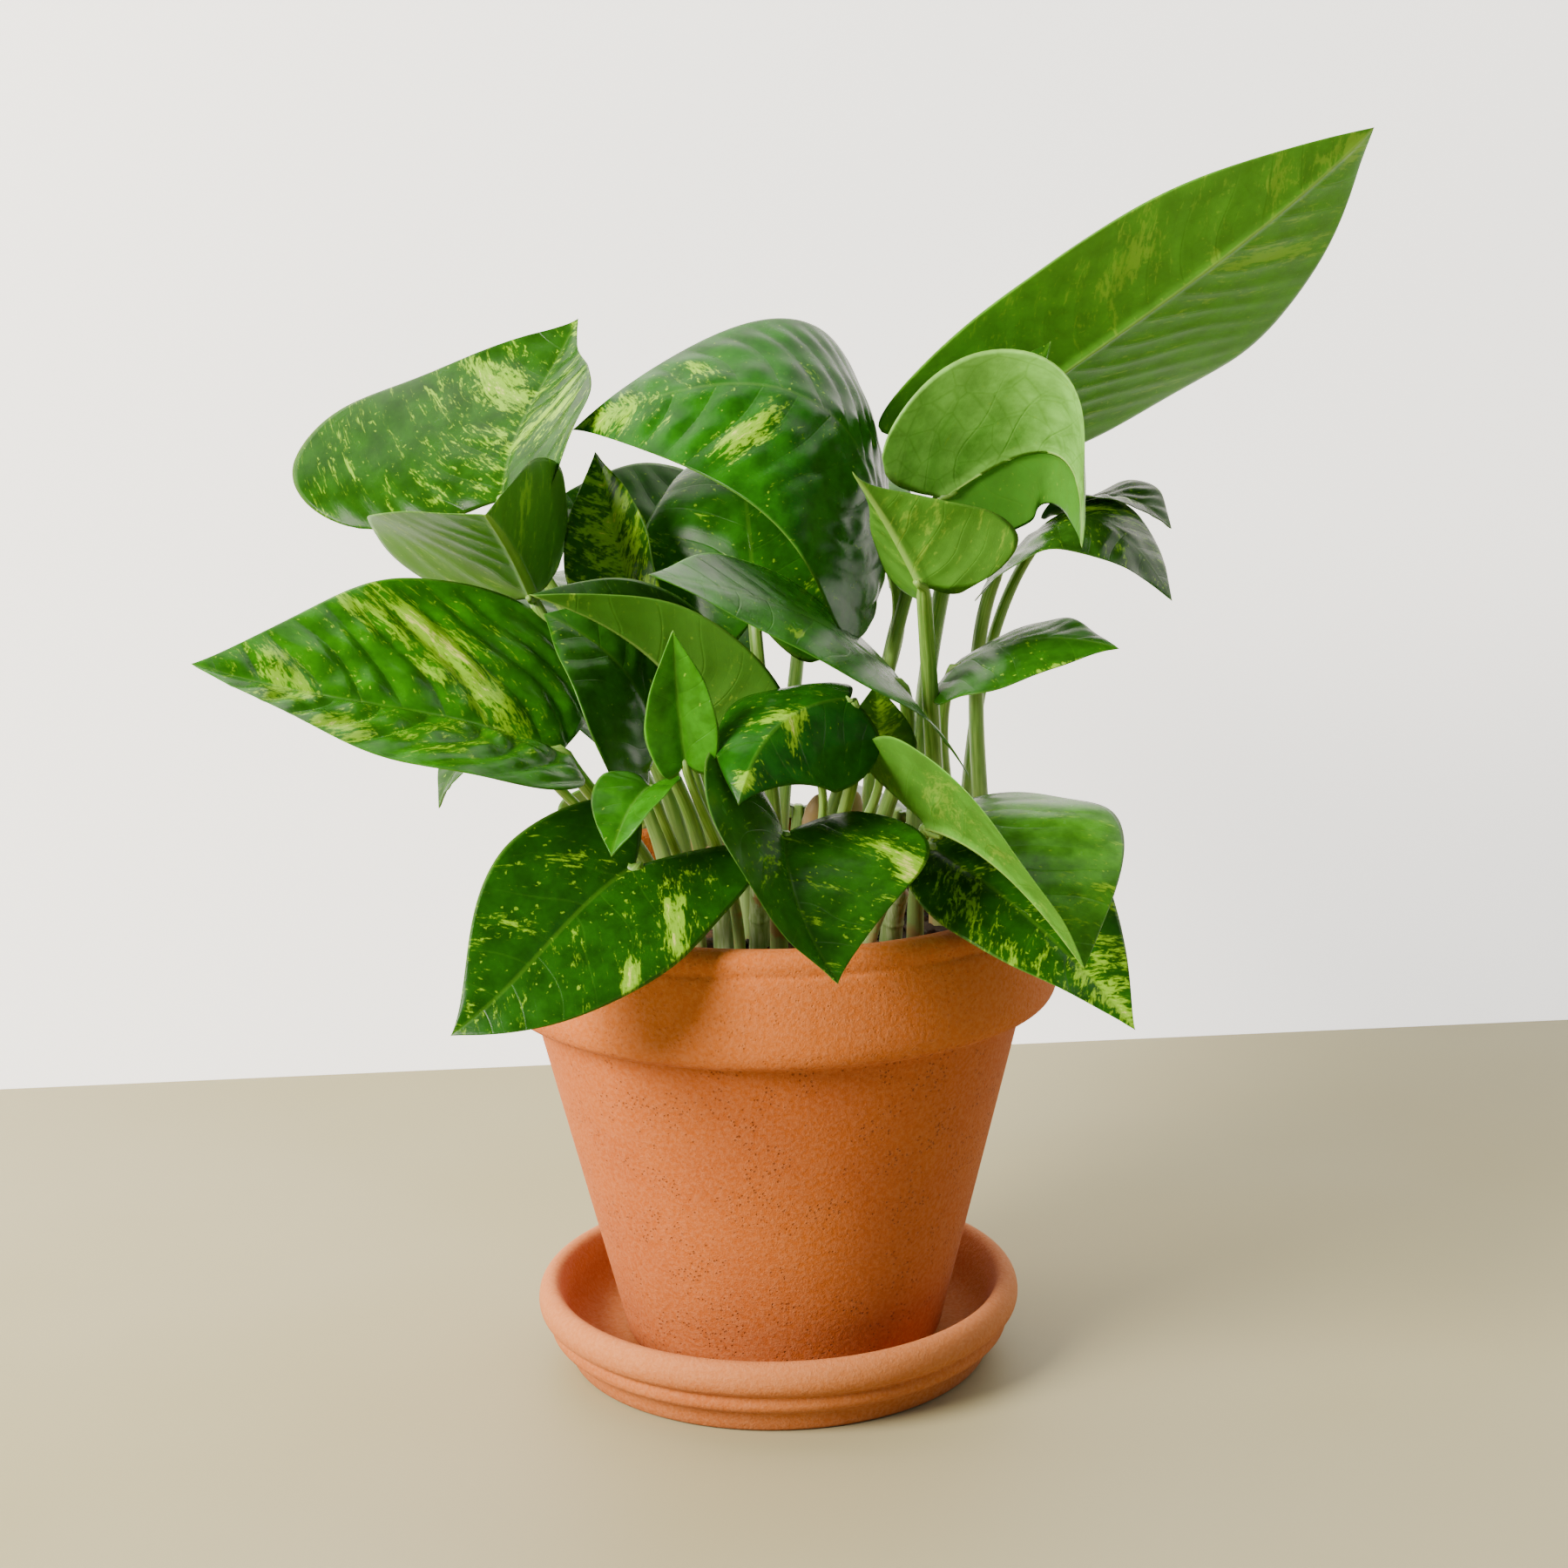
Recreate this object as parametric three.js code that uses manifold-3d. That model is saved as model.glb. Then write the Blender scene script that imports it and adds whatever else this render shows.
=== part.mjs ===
// Potted pothos: a vining houseplant in a terracotta pot that stands on its saucer.
// Millimetres, +Z up. The origin is on the ground, under the centre of the saucer.
import * as THREE from "three";
import { mergeVertices } from "three/addons/utils/BufferGeometryUtils.js";
import Module from "manifold-3d";

const wasm = await Module();
wasm.setup();

// Driving dimensions
const gap = 0.3;

const saucerRadius = 66.5;
const saucerHeight = 22;
const saucerFloor = 6;
const saucerFootRadius = 57;
const saucerInnerRadius = 55;

const potTop = 134;
const potBase = saucerFloor + gap;
const potRimRadius = 76;
const potRimDepth = 31;
const potBodyTopRadius = 66.5;
const potBaseRadius = 43.5;
const potWall = 7;
const potFloor = 8;
const drainRadius = 7;
const potShiftX = 1.5;

const soilTop = 121;
const soilRadius = 61;
const latheSegments = 36;

const bladeThickness = 1;
const bladeColumns = 8;
const bladeRows = 8;
const petioleSides = 5;
const petioleSteps = 9;
const stemSides = 7;
const stemSteps = 6;

// Leaves. base is where the stalk meets the blade, tip is the blade's point, and face is where
// the upper side looks. width, fold and curl are given for the left and the right half, seen from
// above with the tip ahead: half widths in mm, angles in degrees. arch and sway bend the midrib,
// up and sideways, at one and at two thirds of its length. wide is where the blade is widest, heel
// the half width left at its base, lobe how far a half runs back past the base. foot is where the
// stalk rises, and lead, where given, the way it comes to the base.
const leaves = {
  leaf_top_left: {
    base: [-70, 12, 236], tip: [-51, 58, 281], face: [-0.25, -0.6, 0.75], width: [61, 34],
    arch: [4, -6], sway: [-3, -5], fold: [6, 24], curl: [0, 20], lobe: [0.1, 0.1],
    wide: 0.24, point: 1.1, foot: [-22, 18], stalk: 2.3, lead: [8, 4, -24],
  },
  leaf_left_upturned: {
    base: [-61, -3, 212], tip: [-68, -50, 240], face: [0.05, 0.45, 0.9], width: [30, 44],
    arch: [2, 2], sway: [0, 0], fold: [75, 12], curl: [0, 10],
    foot: [-26, -2], stalk: 2.2, lead: [8, 2, -20],
  },
  leaf_top_middle: {
    base: [33, 22, 217], tip: [-50, 5, 255], face: [0.4, -0.6, 0.7], width: [49, 47],
    arch: [41, 36], sway: [4, 4], fold: [0, -10], curl: [-10, -15],
    foot: [12, 18], stalk: 2.4, lobe: [0.05, 0.28], heel: [0.35, 0.7],
  },
  leaf_middle_domed: {
    base: [-3, 0, 205], tip: [-11, 58, 242], face: [0, -0.75, 0.66], width: [31, 30],
    arch: [15, 21], sway: [2, 2], fold: [-5, -5], curl: [-30, -30], foot: [2, 6], stalk: 2.2,
  },
  leaf_middle_spread: {
    base: [35, -14, 189], tip: [-28, -60, 226], face: [0.1, -0.22, 0.97], width: [33, 30],
    arch: [8, 4], sway: [3, 3], fold: [-10, 4], curl: [0, 6], foot: [24, -4],
    stalk: 2.2, lobe: [0.24, 0.08], heel: [0.7, 0.5],
  },
  leaf_middle_folded: {
    base: [-13, -22, 173], tip: [-58, -50, 220], face: [0.2, -0.3, 0.93], width: [25, 27],
    arch: [9, 8], sway: [0, 0], fold: [62, 25], curl: [0, 0], foot: [-6, -12], stalk: 2.2,
  },
  leaf_young_upright: {
    base: [-20, -67, 180], tip: [-22, -71, 214], face: [0.25, -0.95, 0.1], width: [10, 10],
    arch: [-2, -2], sway: [0, 0], fold: [20, 35], curl: [0, 0], lobe: [0.08, 0.08],
    foot: [-8, -36], stalk: 1.4,
  },
  leaf_young_low: {
    base: [-29, -57, 173], tip: [-38, -78, 160], face: [-0.3, -0.7, 0.6], width: [11, 11],
    arch: [3, 3], sway: [0, 0], fold: [20, 20], curl: [0, 0], lobe: [0.1, 0.1],
    foot: [-18, -36], stalk: 1.4,
  },
  leaf_front_left: {
    base: [-33, -62, 154], tip: [-77, -92, 120], face: [-0.15, -0.85, 0.5], width: [28, 24],
    arch: [3, 4], sway: [2, -4], fold: [4, 16], curl: [-5, -5], lobe: [0.42, 0.14],
    foot: [-28, -28], stalk: 2.1,
  },
  leaf_front_middle: {
    base: [4, -60, 161], tip: [16, -98, 133], face: [0.1, -0.62, 0.78], width: [36, 33],
    arch: [5, 2], sway: [4, 4], fold: [0, 50], curl: [0, 0], lobe: [0.28, 0.2],
    foot: [2, -34], stalk: 2.2,
  },
  leaf_front_curled: {
    base: [21, -51, 193], tip: [-7, -82, 173], face: [-0.4, -0.8, 0.45], width: [23, 23],
    arch: [6, 8], sway: [4, 4], fold: [-45, -5], curl: [-20, -35], foot: [12, -28], stalk: 1.8,
  },
  leaf_front_right_folded: {
    base: [40, -42, 158], tip: [75, -92, 134], face: [0, -0.55, 0.83], width: [40, 34],
    arch: [9, 9], sway: [0, 0], fold: [-2, 72], curl: [-18, 0], lobe: [0.12, 0.12],
    wide: 0.4, point: 0.9, foot: [24, -40], stalk: 2.1,
  },
  leaf_front_right: {
    base: [41, -31, 150], tip: [89, -78, 114], face: [0, -0.55, 0.83], width: [27, 19],
    arch: [6, 6], sway: [0, 0], fold: [5, 10], curl: [0, -8], lobe: [0.06, 0],
    foot: [38, -18], stalk: 2.1, heel: [0.4, 0.25],
  },
  leaf_right_low: {
    base: [50, -2, 192], tip: [91, -22, 199], face: [0, -0.15, 0.98], width: [22, 28],
    arch: [5, 5], sway: [0, 0], fold: [-2, -12], curl: [0, 0], foot: [51, 4],
    stalk: 2, lobe: [0.08, 0.1], heel: [0.5, 0.3],
  },
  leaf_right_small: {
    base: [86, 50, 226], tip: [112, 36, 222], face: [0, 0, 1], width: [19, 19],
    arch: [6, 6], sway: [0, 0], fold: [8, 8], curl: [0, 0],
    foot: [54, 32], stalk: 1.8, lead: [-24, -4, -14],
  },
  leaf_right_drooping: {
    base: [64, 24, 215], tip: [108, 4, 207], face: [0.1, 0.1, 0.98], width: [26, 28],
    arch: [20, 14], sway: [0, 0], fold: [10, -20], curl: [0, 0], foot: [59, 20], stalk: 2.3,
  },
  leaf_tall_right: {
    base: [66, 50, 253], tip: [160, 12, 329], face: [-0.45, 0.72, 0.5], width: [52, 36],
    arch: [-4, -8], sway: [4, 4], fold: [8, 8], curl: [0, 0], wide: 0.43, point: 0.85,
    foot: [40, 30], stalk: 2.6, heel: [0.4, 0.6], lobe: [0.15, 0.2],
  },
  leaf_right_arched: {
    base: [47, 10, 235], tip: [82, -14, 224], face: [-0.25, 0.7, 0.65], width: [19, 35],
    arch: [24, 24], sway: [0, 0], fold: [-40, 15], curl: [0, 0], foot: [26, 12], stalk: 2.2,
  },
  leaf_right_funnel: {
    base: [40, -34, 218], tip: [22, -50, 249], face: [0.2, 0.9, 0.4], width: [27, 17],
    arch: [2, 2], sway: [0, 0], fold: [14, 45], curl: [0, 0],
    foot: [45, -3], stalk: 2.4, lead: [2, 20, -22],
    wide: 0.16, point: 2, heel: [0.3, 0.3], lobe: [0, 0],
  },
  leaf_big_left: {
    base: [-52, -38, 178], tip: [-139, -66, 207], face: [0, -0.42, 0.9], width: [40, 50],
    arch: [6, 0], sway: [-2, -4], fold: [17, 14], curl: [-4, -4], lobe: [0, 0.12],
    point: 0.9, foot: [-28, -12], stalk: 2.3, heel: [0.3, 0.58], wide: 0.3,
  },
  leaf_left_shaded: {
    base: [-29, -20, 176], tip: [-57, -24, 211], face: [0.3, -0.5, 0.8], width: [30, 30],
    arch: [8, 8], sway: [0, 0], fold: [5, 5], curl: [0, 0], foot: [-16, -6], stalk: 2.1,
  },
  leaf_left_upright: {
    base: [-35, 4, 208], tip: [-45, 18, 248], face: [-0.3, -0.9, 0.3], width: [16, 16],
    arch: [0, 0], sway: [0, 0], fold: [10, 40], curl: [0, 0], foot: [-14, 8], stalk: 1.9,
  },
  leaf_back_left: {
    base: [-40, 34, 166], tip: [-100, 52, 196], face: [0, -0.1, 1], width: [24, 32],
    arch: [8, 8], sway: [0, 0], fold: [8, 8], curl: [0, 0], foot: [-24, 26], stalk: 2.1,
  },
  leaf_left_hanging: {
    base: [-65, -6, 174], tip: [-87, -14, 158], face: [-0.5, -0.2, 0.8], width: [14, 14],
    arch: [6, 6], sway: [0, 0], fold: [10, 10], curl: [0, 0], foot: [-34, 0], stalk: 1.6,
  },
  leaf_behind_left: {
    base: [-17, 38, 213], tip: [-61, 34, 231], face: [0, -0.5, 0.85], width: [20, 28],
    arch: [8, 6], sway: [0, 0], fold: [5, 5], curl: [0, 0], foot: [-8, 14], stalk: 2,
  },
  leaf_small_speckled: {
    base: [29, -18, 168], tip: [28, -22, 191], face: [0, -1, 0.2], width: [10, 10],
    arch: [2, 2], sway: [0, 0], fold: [10, 10], curl: [0, 0], lobe: [0.08, 0.08],
    foot: [14, -10], stalk: 1.5,
  },
  leaf_small_pointed: {
    base: [12, -34, 172], tip: [7, -37, 191], face: [0, -1, 0.2], width: [8, 8],
    arch: [2, 2], sway: [0, 0], fold: [20, 20], curl: [0, 0], lobe: [0.06, 0.06],
    foot: [8, -20], stalk: 1.3,
  },
  leaf_behind_right: {
    base: [52, 30, 243], tip: [77, 20, 275], face: [0.2, -0.5, 0.8], width: [13, 13],
    arch: [2, -4], sway: [0, 0], fold: [10, 10], curl: [0, 0], foot: [26, 30], stalk: 1.9,
  },
  leaf_back_high_left: {
    base: [-30, 46, 190], tip: [-72, 112, 200], face: [-0.2, 0.3, 0.95], width: [37, 37],
    arch: [10, 8], sway: [0, 0], fold: [8, 8], curl: [0, 0], foot: [-14, 30], stalk: 2.2,
  },
  leaf_back_high: {
    base: [10, 70, 208], tip: [8, 136, 224], face: [0, -0.2, 1], width: [34, 34],
    arch: [12, 8], sway: [0, 0], fold: [8, 8], curl: [0, 0], foot: [2, 26], stalk: 2.2, lobe: [0.08, 0.08],
  },
  leaf_back_right: {
    base: [36, 52, 140], tip: [72, 98, 108], face: [0.3, 0.3, 0.9], width: [32, 32],
    arch: [6, 5], sway: [0, 0], fold: [8, 8], curl: [0, 0], foot: [32, 34], stalk: 2.1,
  },
  leaf_back_rim_left: {
    base: [-26, 52, 143], tip: [-54, 102, 106], face: [-0.1, 0.6, 0.8], width: [28, 28],
    arch: [6, 5], sway: [0, 0], fold: [6, 6], curl: [0, 0], foot: [-20, 38], stalk: 2.1,
  },
  leaf_back_rim_right: {
    base: [8, 60, 140], tip: [10, 116, 102], face: [0.1, 0.6, 0.8], width: [25, 25],
    arch: [8, 6], sway: [0, 0], fold: [6, 6], curl: [0, 0], foot: [6, 44], stalk: 2,
  },
};

// Vine stems: foot and top points, and their radius.
const stems = {
  stem_front_left: { foot: [-12, -23], top: [-16, -29, 150], radius: 3.3 },
  stem_front: { foot: [-3, -25], top: [-3, -31, 142], radius: 2.9 },
  stem_centre: { foot: [9, -2], top: [13, -5, 158], radius: 3.4 },
  stem_front_right: { foot: [31, -28], top: [34, -33, 140], radius: 3.1 },
  stem_back_right: { foot: [21, 21], top: [24, 25, 152], radius: 3.3 },
  stem_back_left: { foot: [-37, 12], top: [-44, 16, 144], radius: 3 },
};

const vector = (a) => new THREE.Vector3(...a);

// A midrib curve: a cubic through base and tip, bent by arch and sway.
function midrib(leaf) {
  const base = vector(leaf.base);
  const chord = vector(leaf.tip).sub(base);
  const along = chord.clone().normalize();
  const up = vector(leaf.face);
  up.addScaledVector(along, -up.dot(along)).normalize();
  const side = new THREE.Vector3().crossVectors(along, up);
  const handle = (k) =>
    base.clone()
      .addScaledVector(chord, (k + 1) / 3)
      .addScaledVector(up, (leaf.arch[k] * 4) / 3)
      .addScaledVector(side, (leaf.sway[k] * 4) / 3);
  const curve = new THREE.CubicBezierCurve3(base, handle(0), handle(1), vector(leaf.tip));
  return { curve, up };
}

// Half width along the blade, 1 at its widest: from the heel round the shoulder, then to a point.
function outline(s, wide, point, heel) {
  if (s < wide) return heel + (1 - heel) * Math.sqrt(1 - (1 - s / wide) ** 2);
  const rest = (s - wide) / (1 - wide);
  return Math.max(0, 1 - rest ** 1.9) ** (1.15 * point);
}

// One leaf blade: an upper and a lower skin on the same grid, meeting round the margin.
function blade(leaf) {
  const { curve, up } = midrib(leaf);
  const length = curve.getLength();
  const { wide = 0.34, point = 1, lobe = [0.15, 0.15], heel = [0.5, 0.5] } = leaf;
  const upper = [];
  const lower = [];
  for (let i = 0; i <= bladeRows; i++) {
    const s = (i / bladeRows) ** 0.9;
    const centre = curve.getPointAt(s);
    const along = curve.getTangentAt(s);
    const normal = up.clone().addScaledVector(along, -up.dot(along)).normalize();
    const side = new THREE.Vector3().crossVectors(along, normal);
    for (let j = 0; j <= bladeColumns; j++) {
      const across = (2 * j) / bladeColumns - 1;
      const half = across < 0 ? 0 : 1;
      const reach = Math.abs(across);
      const outwards = side.clone().multiplyScalar(half ? 1 : -1);
      const x = reach * leaf.width[half] * outline(s, wide, point, heel[half]);
      const start = THREE.MathUtils.degToRad(leaf.fold[half]);
      const bend = THREE.MathUtils.degToRad(leaf.curl[half] || 0.01) / leaf.width[half];
      const slope = start + bend * x;
      const back = lobe[half] * length * (1 - s) ** 2.2 * Math.sin((Math.PI / 2) * reach);
      const skin = centre.clone()
        .addScaledVector(along, -back)
        .addScaledVector(outwards, (Math.sin(slope) - Math.sin(start)) / bend)
        .addScaledVector(normal, (Math.cos(start) - Math.cos(slope)) / bend);
      const tilt = reach > 0 ? slope : 0;
      const lift = normal.clone().multiplyScalar(Math.cos(tilt));
      lift.addScaledVector(outwards, -Math.sin(tilt));
      const inner = i > 0 && i < bladeRows && j > 0 && j < bladeColumns;
      const swell = inner ? Math.sqrt(1 - reach ** 2) * Math.min(1, 8 * s, 8 * (1 - s)) : 0;
      upper.push(skin.clone().addScaledVector(lift, (bladeThickness * swell) / 2));
      lower.push(skin.clone().addScaledVector(lift, (-bladeThickness * swell) / 2));
    }
  }
  return sewn(upper, lower);
}

// Both skins as one mesh. Each square is cut the same way in both, from the midrib outwards.
function sewn(upper, lower) {
  const across = bladeColumns + 1;
  const index = [];
  for (let i = 0; i < bladeRows; i++) {
    for (let j = 0; j < bladeColumns; j++) {
      const a = i * across + j;
      const [b, c, d] = [a + 1, a + across + 1, a + across];
      const cut = j < bladeColumns / 2 ? [[a, b, c], [a, c, d]] : [[a, b, d], [b, c, d]];
      for (const [p, q, r] of cut) {
        index.push(p, q, r);
        index.push(upper.length + p, upper.length + r, upper.length + q);
      }
    }
  }
  const geometry = new THREE.BufferGeometry().setFromPoints([...upper, ...lower]);
  geometry.setIndex(index);
  return geometry;
}

// The stalk rises from the soil, leans over to the blade and runs a little way under its midrib.
function stalkCurve(leaf) {
  const { curve } = midrib(leaf);
  const foot = new THREE.Vector3(leaf.foot[0], leaf.foot[1], soilTop + gap);
  const base = vector(leaf.base);
  const reach = base.distanceTo(foot);
  const lean = vector(leaf.tip).sub(base).setZ(0).normalize().multiplyScalar(0.5);
  const end = curve.getPointAt(0.1);
  const low = foot.clone().setZ(foot.z + 0.4 * reach);
  const high = leaf.lead
    ? base.clone().add(vector(leaf.lead))
    : base.clone().sub(lean.setZ(1).normalize().multiplyScalar(0.3 * reach));
  const path = new THREE.CurvePath();
  path.add(new THREE.CubicBezierCurve3(foot, low, high, base));
  path.add(new THREE.LineCurve3(base, end));
  return path;
}

function polygon(radius, sides) {
  const shape = new THREE.Shape();
  for (let i = 0; i < sides; i++) {
    const turn = (2 * Math.PI * i) / sides;
    const x = radius * Math.cos(turn);
    const y = radius * Math.sin(turn);
    if (i) shape.lineTo(x, y);
    else shape.moveTo(x, y);
  }
  return shape;
}

function tube(path, radius, sides, steps) {
  return new THREE.ExtrudeGeometry(polygon(radius, sides), { steps, extrudePath: path });
}

function solid(geometry) {
  const bare = geometry.index ? geometry.toNonIndexed() : geometry.clone();
  bare.deleteAttribute("normal");
  bare.deleteAttribute("uv");
  const merged = mergeVertices(bare, 1e-3);
  const index = merged.index.array;
  const kept = [];
  for (let i = 0; i < index.length; i += 3) {
    const [a, b, c] = index.slice(i, i + 3);
    if (a !== b && b !== c && c !== a) kept.push(a, b, c);
  }
  const mesh = new wasm.Mesh({
    numProp: 3,
    vertProperties: merged.attributes.position.array,
    triVerts: new Uint32Array(kept),
  });
  return new wasm.Manifold(mesh);
}

function geometryOf(manifold) {
  const mesh = manifold.getMesh();
  const geometry = new THREE.BufferGeometry();
  geometry.setAttribute("position", new THREE.BufferAttribute(mesh.vertProperties, 3));
  geometry.setIndex(new THREE.BufferAttribute(mesh.triVerts, 1));
  geometry.computeVertexNormals();
  return geometry;
}

function leafGeometry(leaf) {
  const stalk = solid(tube(stalkCurve(leaf), leaf.stalk, petioleSides, petioleSteps));
  return geometryOf(solid(blade(leaf)).add(stalk));
}

function stemGeometry(stem) {
  const foot = new THREE.Vector3(stem.foot[0], stem.foot[1], soilTop + gap);
  const top = vector(stem.top);
  const middle = foot.clone().setZ((foot.z + top.z) / 2);
  return tube(new THREE.QuadraticBezierCurve3(foot, middle, top), stem.radius, stemSides, stemSteps);
}

function lathe(points) {
  const profile = points.map(([r, z]) => new THREE.Vector2(r, z));
  return new THREE.LatheGeometry(profile, latheSegments).rotateX(Math.PI / 2);
}

function material(color, roughness) {
  return new THREE.MeshStandardMaterial({ color, roughness, metalness: 0 });
}

function named(name, geometry, color, roughness) {
  const mesh = new THREE.Mesh(geometry, material(color, roughness));
  mesh.name = name;
  return mesh;
}

// Saucer: foot, a rolled ridge, then a thick rounded rim around a flat well.
function saucerGeometry() {
  const rim = saucerRadius;
  const top = saucerHeight;
  return lathe([
    [0, 0], [saucerFootRadius, 0], [saucerFootRadius + 1.4, 1.5], [saucerFootRadius + 2.6, 6.5],
    [rim - 3.6, 8], [rim - 2.9, 10.2], [rim - 3.4, 12], [rim - 2, 12.8], [rim - 0.3, 14.6],
    [rim, 17], [rim - 0.9, top - 2], [rim - 3.2, top - 0.3], [rim - 5.2, top - 0.6],
    [rim - 6.4, top - 2.6], [saucerInnerRadius + 2, saucerFloor + 4],
    [saucerInnerRadius - 1.5, saucerFloor + 0.6], [saucerInnerRadius - 6, saucerFloor],
    [0, saucerFloor],
  ]);
}

// Inner radius of the pot at a height: one straight taper from the floor to the lip.
function potInside(z) {
  const low = potBase + potFloor;
  const high = potTop - 3;
  const lowRadius = potBaseRadius + 1 - potWall;
  const highRadius = potRimRadius - 8.5;
  return lowRadius + ((highRadius - lowRadius) * (z - low)) / (high - low);
}

// Pot: tapered body, deep band under a rounded lip, a floor with one drain hole.
function potGeometry() {
  const band = potTop - potRimDepth;
  const floor = potBase + potFloor;
  const geometry = lathe([
    [drainRadius, potBase], [potBaseRadius - 2, potBase], [potBaseRadius, potBase + 2],
    [potBodyTopRadius, band - 1], [potRimRadius - 4.5, band], [potRimRadius - 1.2, band + 2],
    [potRimRadius, band + 6], [potRimRadius - 0.4, potTop - 9], [potRimRadius - 1.4, potTop - 4.5],
    [potRimRadius - 2, potTop - 2], [potRimRadius - 4.2, potTop], [potRimRadius - 7, potTop],
    [potInside(potTop - 3), potTop - 3], [potInside(floor), floor], [drainRadius, floor],
    [drainRadius, potBase],
  ]);
  return geometry.translate(potShiftX, 0, 0);
}

// Soil fills the pot to below its lip and slopes down a little where it meets the wall.
function soilGeometry() {
  const bottom = potBase + potFloor + gap;
  const edge = soilTop - 2;
  const geometry = lathe([
    [0, bottom], [potInside(bottom) - gap - 0.2, bottom], [potInside(edge) - gap - 0.2, edge],
    [soilRadius - 4, soilTop - 0.4], [soilRadius - 12, soilTop], [0, soilTop],
  ]);
  return geometry.translate(potShiftX, 0, 0);
}

const plant = new THREE.Group();
plant.add(named("saucer", saucerGeometry(), 0xc98255, 0.9));
plant.add(named("pot", potGeometry(), 0xc26b35, 0.88));
plant.add(named("soil", soilGeometry(), 0x3a2a20, 1));
for (const [name, leaf] of Object.entries(leaves)) {
  plant.add(named(name, leafGeometry(leaf), 0x2f6b1f, 0.35));
}
for (const [name, stem] of Object.entries(stems)) {
  plant.add(named(name, stemGeometry(stem), 0x6f9a4a, 0.5));
}

export default plant;
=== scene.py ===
import bpy
import math
from functools import partial
import numpy as np
import mathutils
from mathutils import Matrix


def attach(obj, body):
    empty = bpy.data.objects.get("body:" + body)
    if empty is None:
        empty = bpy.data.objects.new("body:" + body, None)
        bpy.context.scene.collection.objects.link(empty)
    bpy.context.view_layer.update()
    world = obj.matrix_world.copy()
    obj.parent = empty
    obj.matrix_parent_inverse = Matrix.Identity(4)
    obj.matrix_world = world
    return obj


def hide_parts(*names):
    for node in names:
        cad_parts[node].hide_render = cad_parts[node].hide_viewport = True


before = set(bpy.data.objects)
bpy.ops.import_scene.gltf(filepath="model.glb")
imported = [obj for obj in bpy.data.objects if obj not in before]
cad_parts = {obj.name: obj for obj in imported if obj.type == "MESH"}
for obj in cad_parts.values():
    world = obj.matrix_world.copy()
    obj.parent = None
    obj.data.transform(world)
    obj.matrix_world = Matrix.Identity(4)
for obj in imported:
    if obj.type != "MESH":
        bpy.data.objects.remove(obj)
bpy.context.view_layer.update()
mm = 0.001
fullTurn = 2 * math.pi


def rgba(code):
    # sRGB hex to linear: below the toe a plain division, above it a power of 2.4
    parts = np.array([int(code[i:i + 2], 16) / 255 for i in (0, 2, 4)])
    linear = np.where(parts <= 0.04045, parts / 12.92, ((parts + 0.055) / 1.055) ** 2.4)
    return (*linear.tolist(), 1.0)


# settings that every node of a kind has here
usual = {"Mix": {"data_type": "RGBA"}, "MapRange": {"interpolation_type": "SMOOTHSTEP"}}


def addNode(tree, kind, *values, output=None, **named):
    # one shader node: lower-case names are its settings, and values or links go to the inputs in use, in
    # order or by their capitalised names; gives the named output, or the first one in use
    made = tree.nodes.new("ShaderNode" + kind)
    for key, value in {**usual.get(kind, {}), **named}.items():
        if key.islower():
            setattr(made, key, value)
    given = list(zip([spot for spot in made.inputs if spot.enabled], values))
    inputNames = [key for key in named if not key.islower()]
    given += [(made.inputs[key.replace("_", " ")], named[key]) for key in inputNames]
    for spot, value in given:
        if isinstance(value, bpy.types.NodeSocket):
            tree.links.new(value, spot)
        else:
            spot.default_value = value
    return made.outputs[output] if output else next((spot for spot in made.outputs if spot.enabled), None)


def newMaterial(name):
    # an empty material, and the function that adds nodes to it
    material = bpy.data.materials.new(name)
    material.use_nodes = True
    material.node_tree.nodes.clear()
    return material, partial(addNode, material.node_tree)


def weightedSum(add, total, *layers):
    # the total plus each layer times its weight
    for layer, weight in layers:
        total = add("Math", layer, weight, total, operation="MULTIPLY_ADD")
    return total


def painted(add, color, *coats):
    # the colour under its coats, each given as where it lies (0 to 1), how strong it is, and its colour
    for where, strength, coat in coats:
        share = add("Math", where, strength, operation="MULTIPLY")
        color = add("Mix", share, color, rgba(coat) if isinstance(coat, str) else coat)
    return color


def reliefBody(add, color, roughness, relief, strength, depth, **more):
    # the coloured body, with its relief as a bump of that depth in metres
    bump = add("Bump", Strength=strength, Distance=depth, Height=relief)
    return add("BsdfPrincipled", Base_Color=color, Roughness=roughness, Normal=bump, **more)


def buildMesh(name, points, faces, materials, attributes=None, faceMaterials=None, smooth=True):
    # points in metres; the object stays at the origin
    mesh = bpy.data.meshes.new(name)
    mesh.from_pydata(np.asarray(points, float).tolist(), [], faces)
    fields = {"FLOAT": "value", "FLOAT_VECTOR": "vector", "FLOAT_COLOR": "color"}
    for key, (kind, values) in (attributes or {}).items():
        layer = mesh.attributes.new(key, kind, "POINT")
        layer.data.foreach_set(fields[kind], np.asarray(values, np.float32).ravel())
    for material in materials:
        mesh.materials.append(material)
    if faceMaterials is not None:
        mesh.polygons.foreach_set("material_index", np.asarray(faceMaterials, np.int32))
    mesh.polygons.foreach_set("use_smooth", np.full(len(mesh.polygons), smooth))
    mesh.update()
    made = bpy.data.objects.new(name, mesh)
    bpy.context.scene.collection.objects.link(made)
    return made


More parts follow.
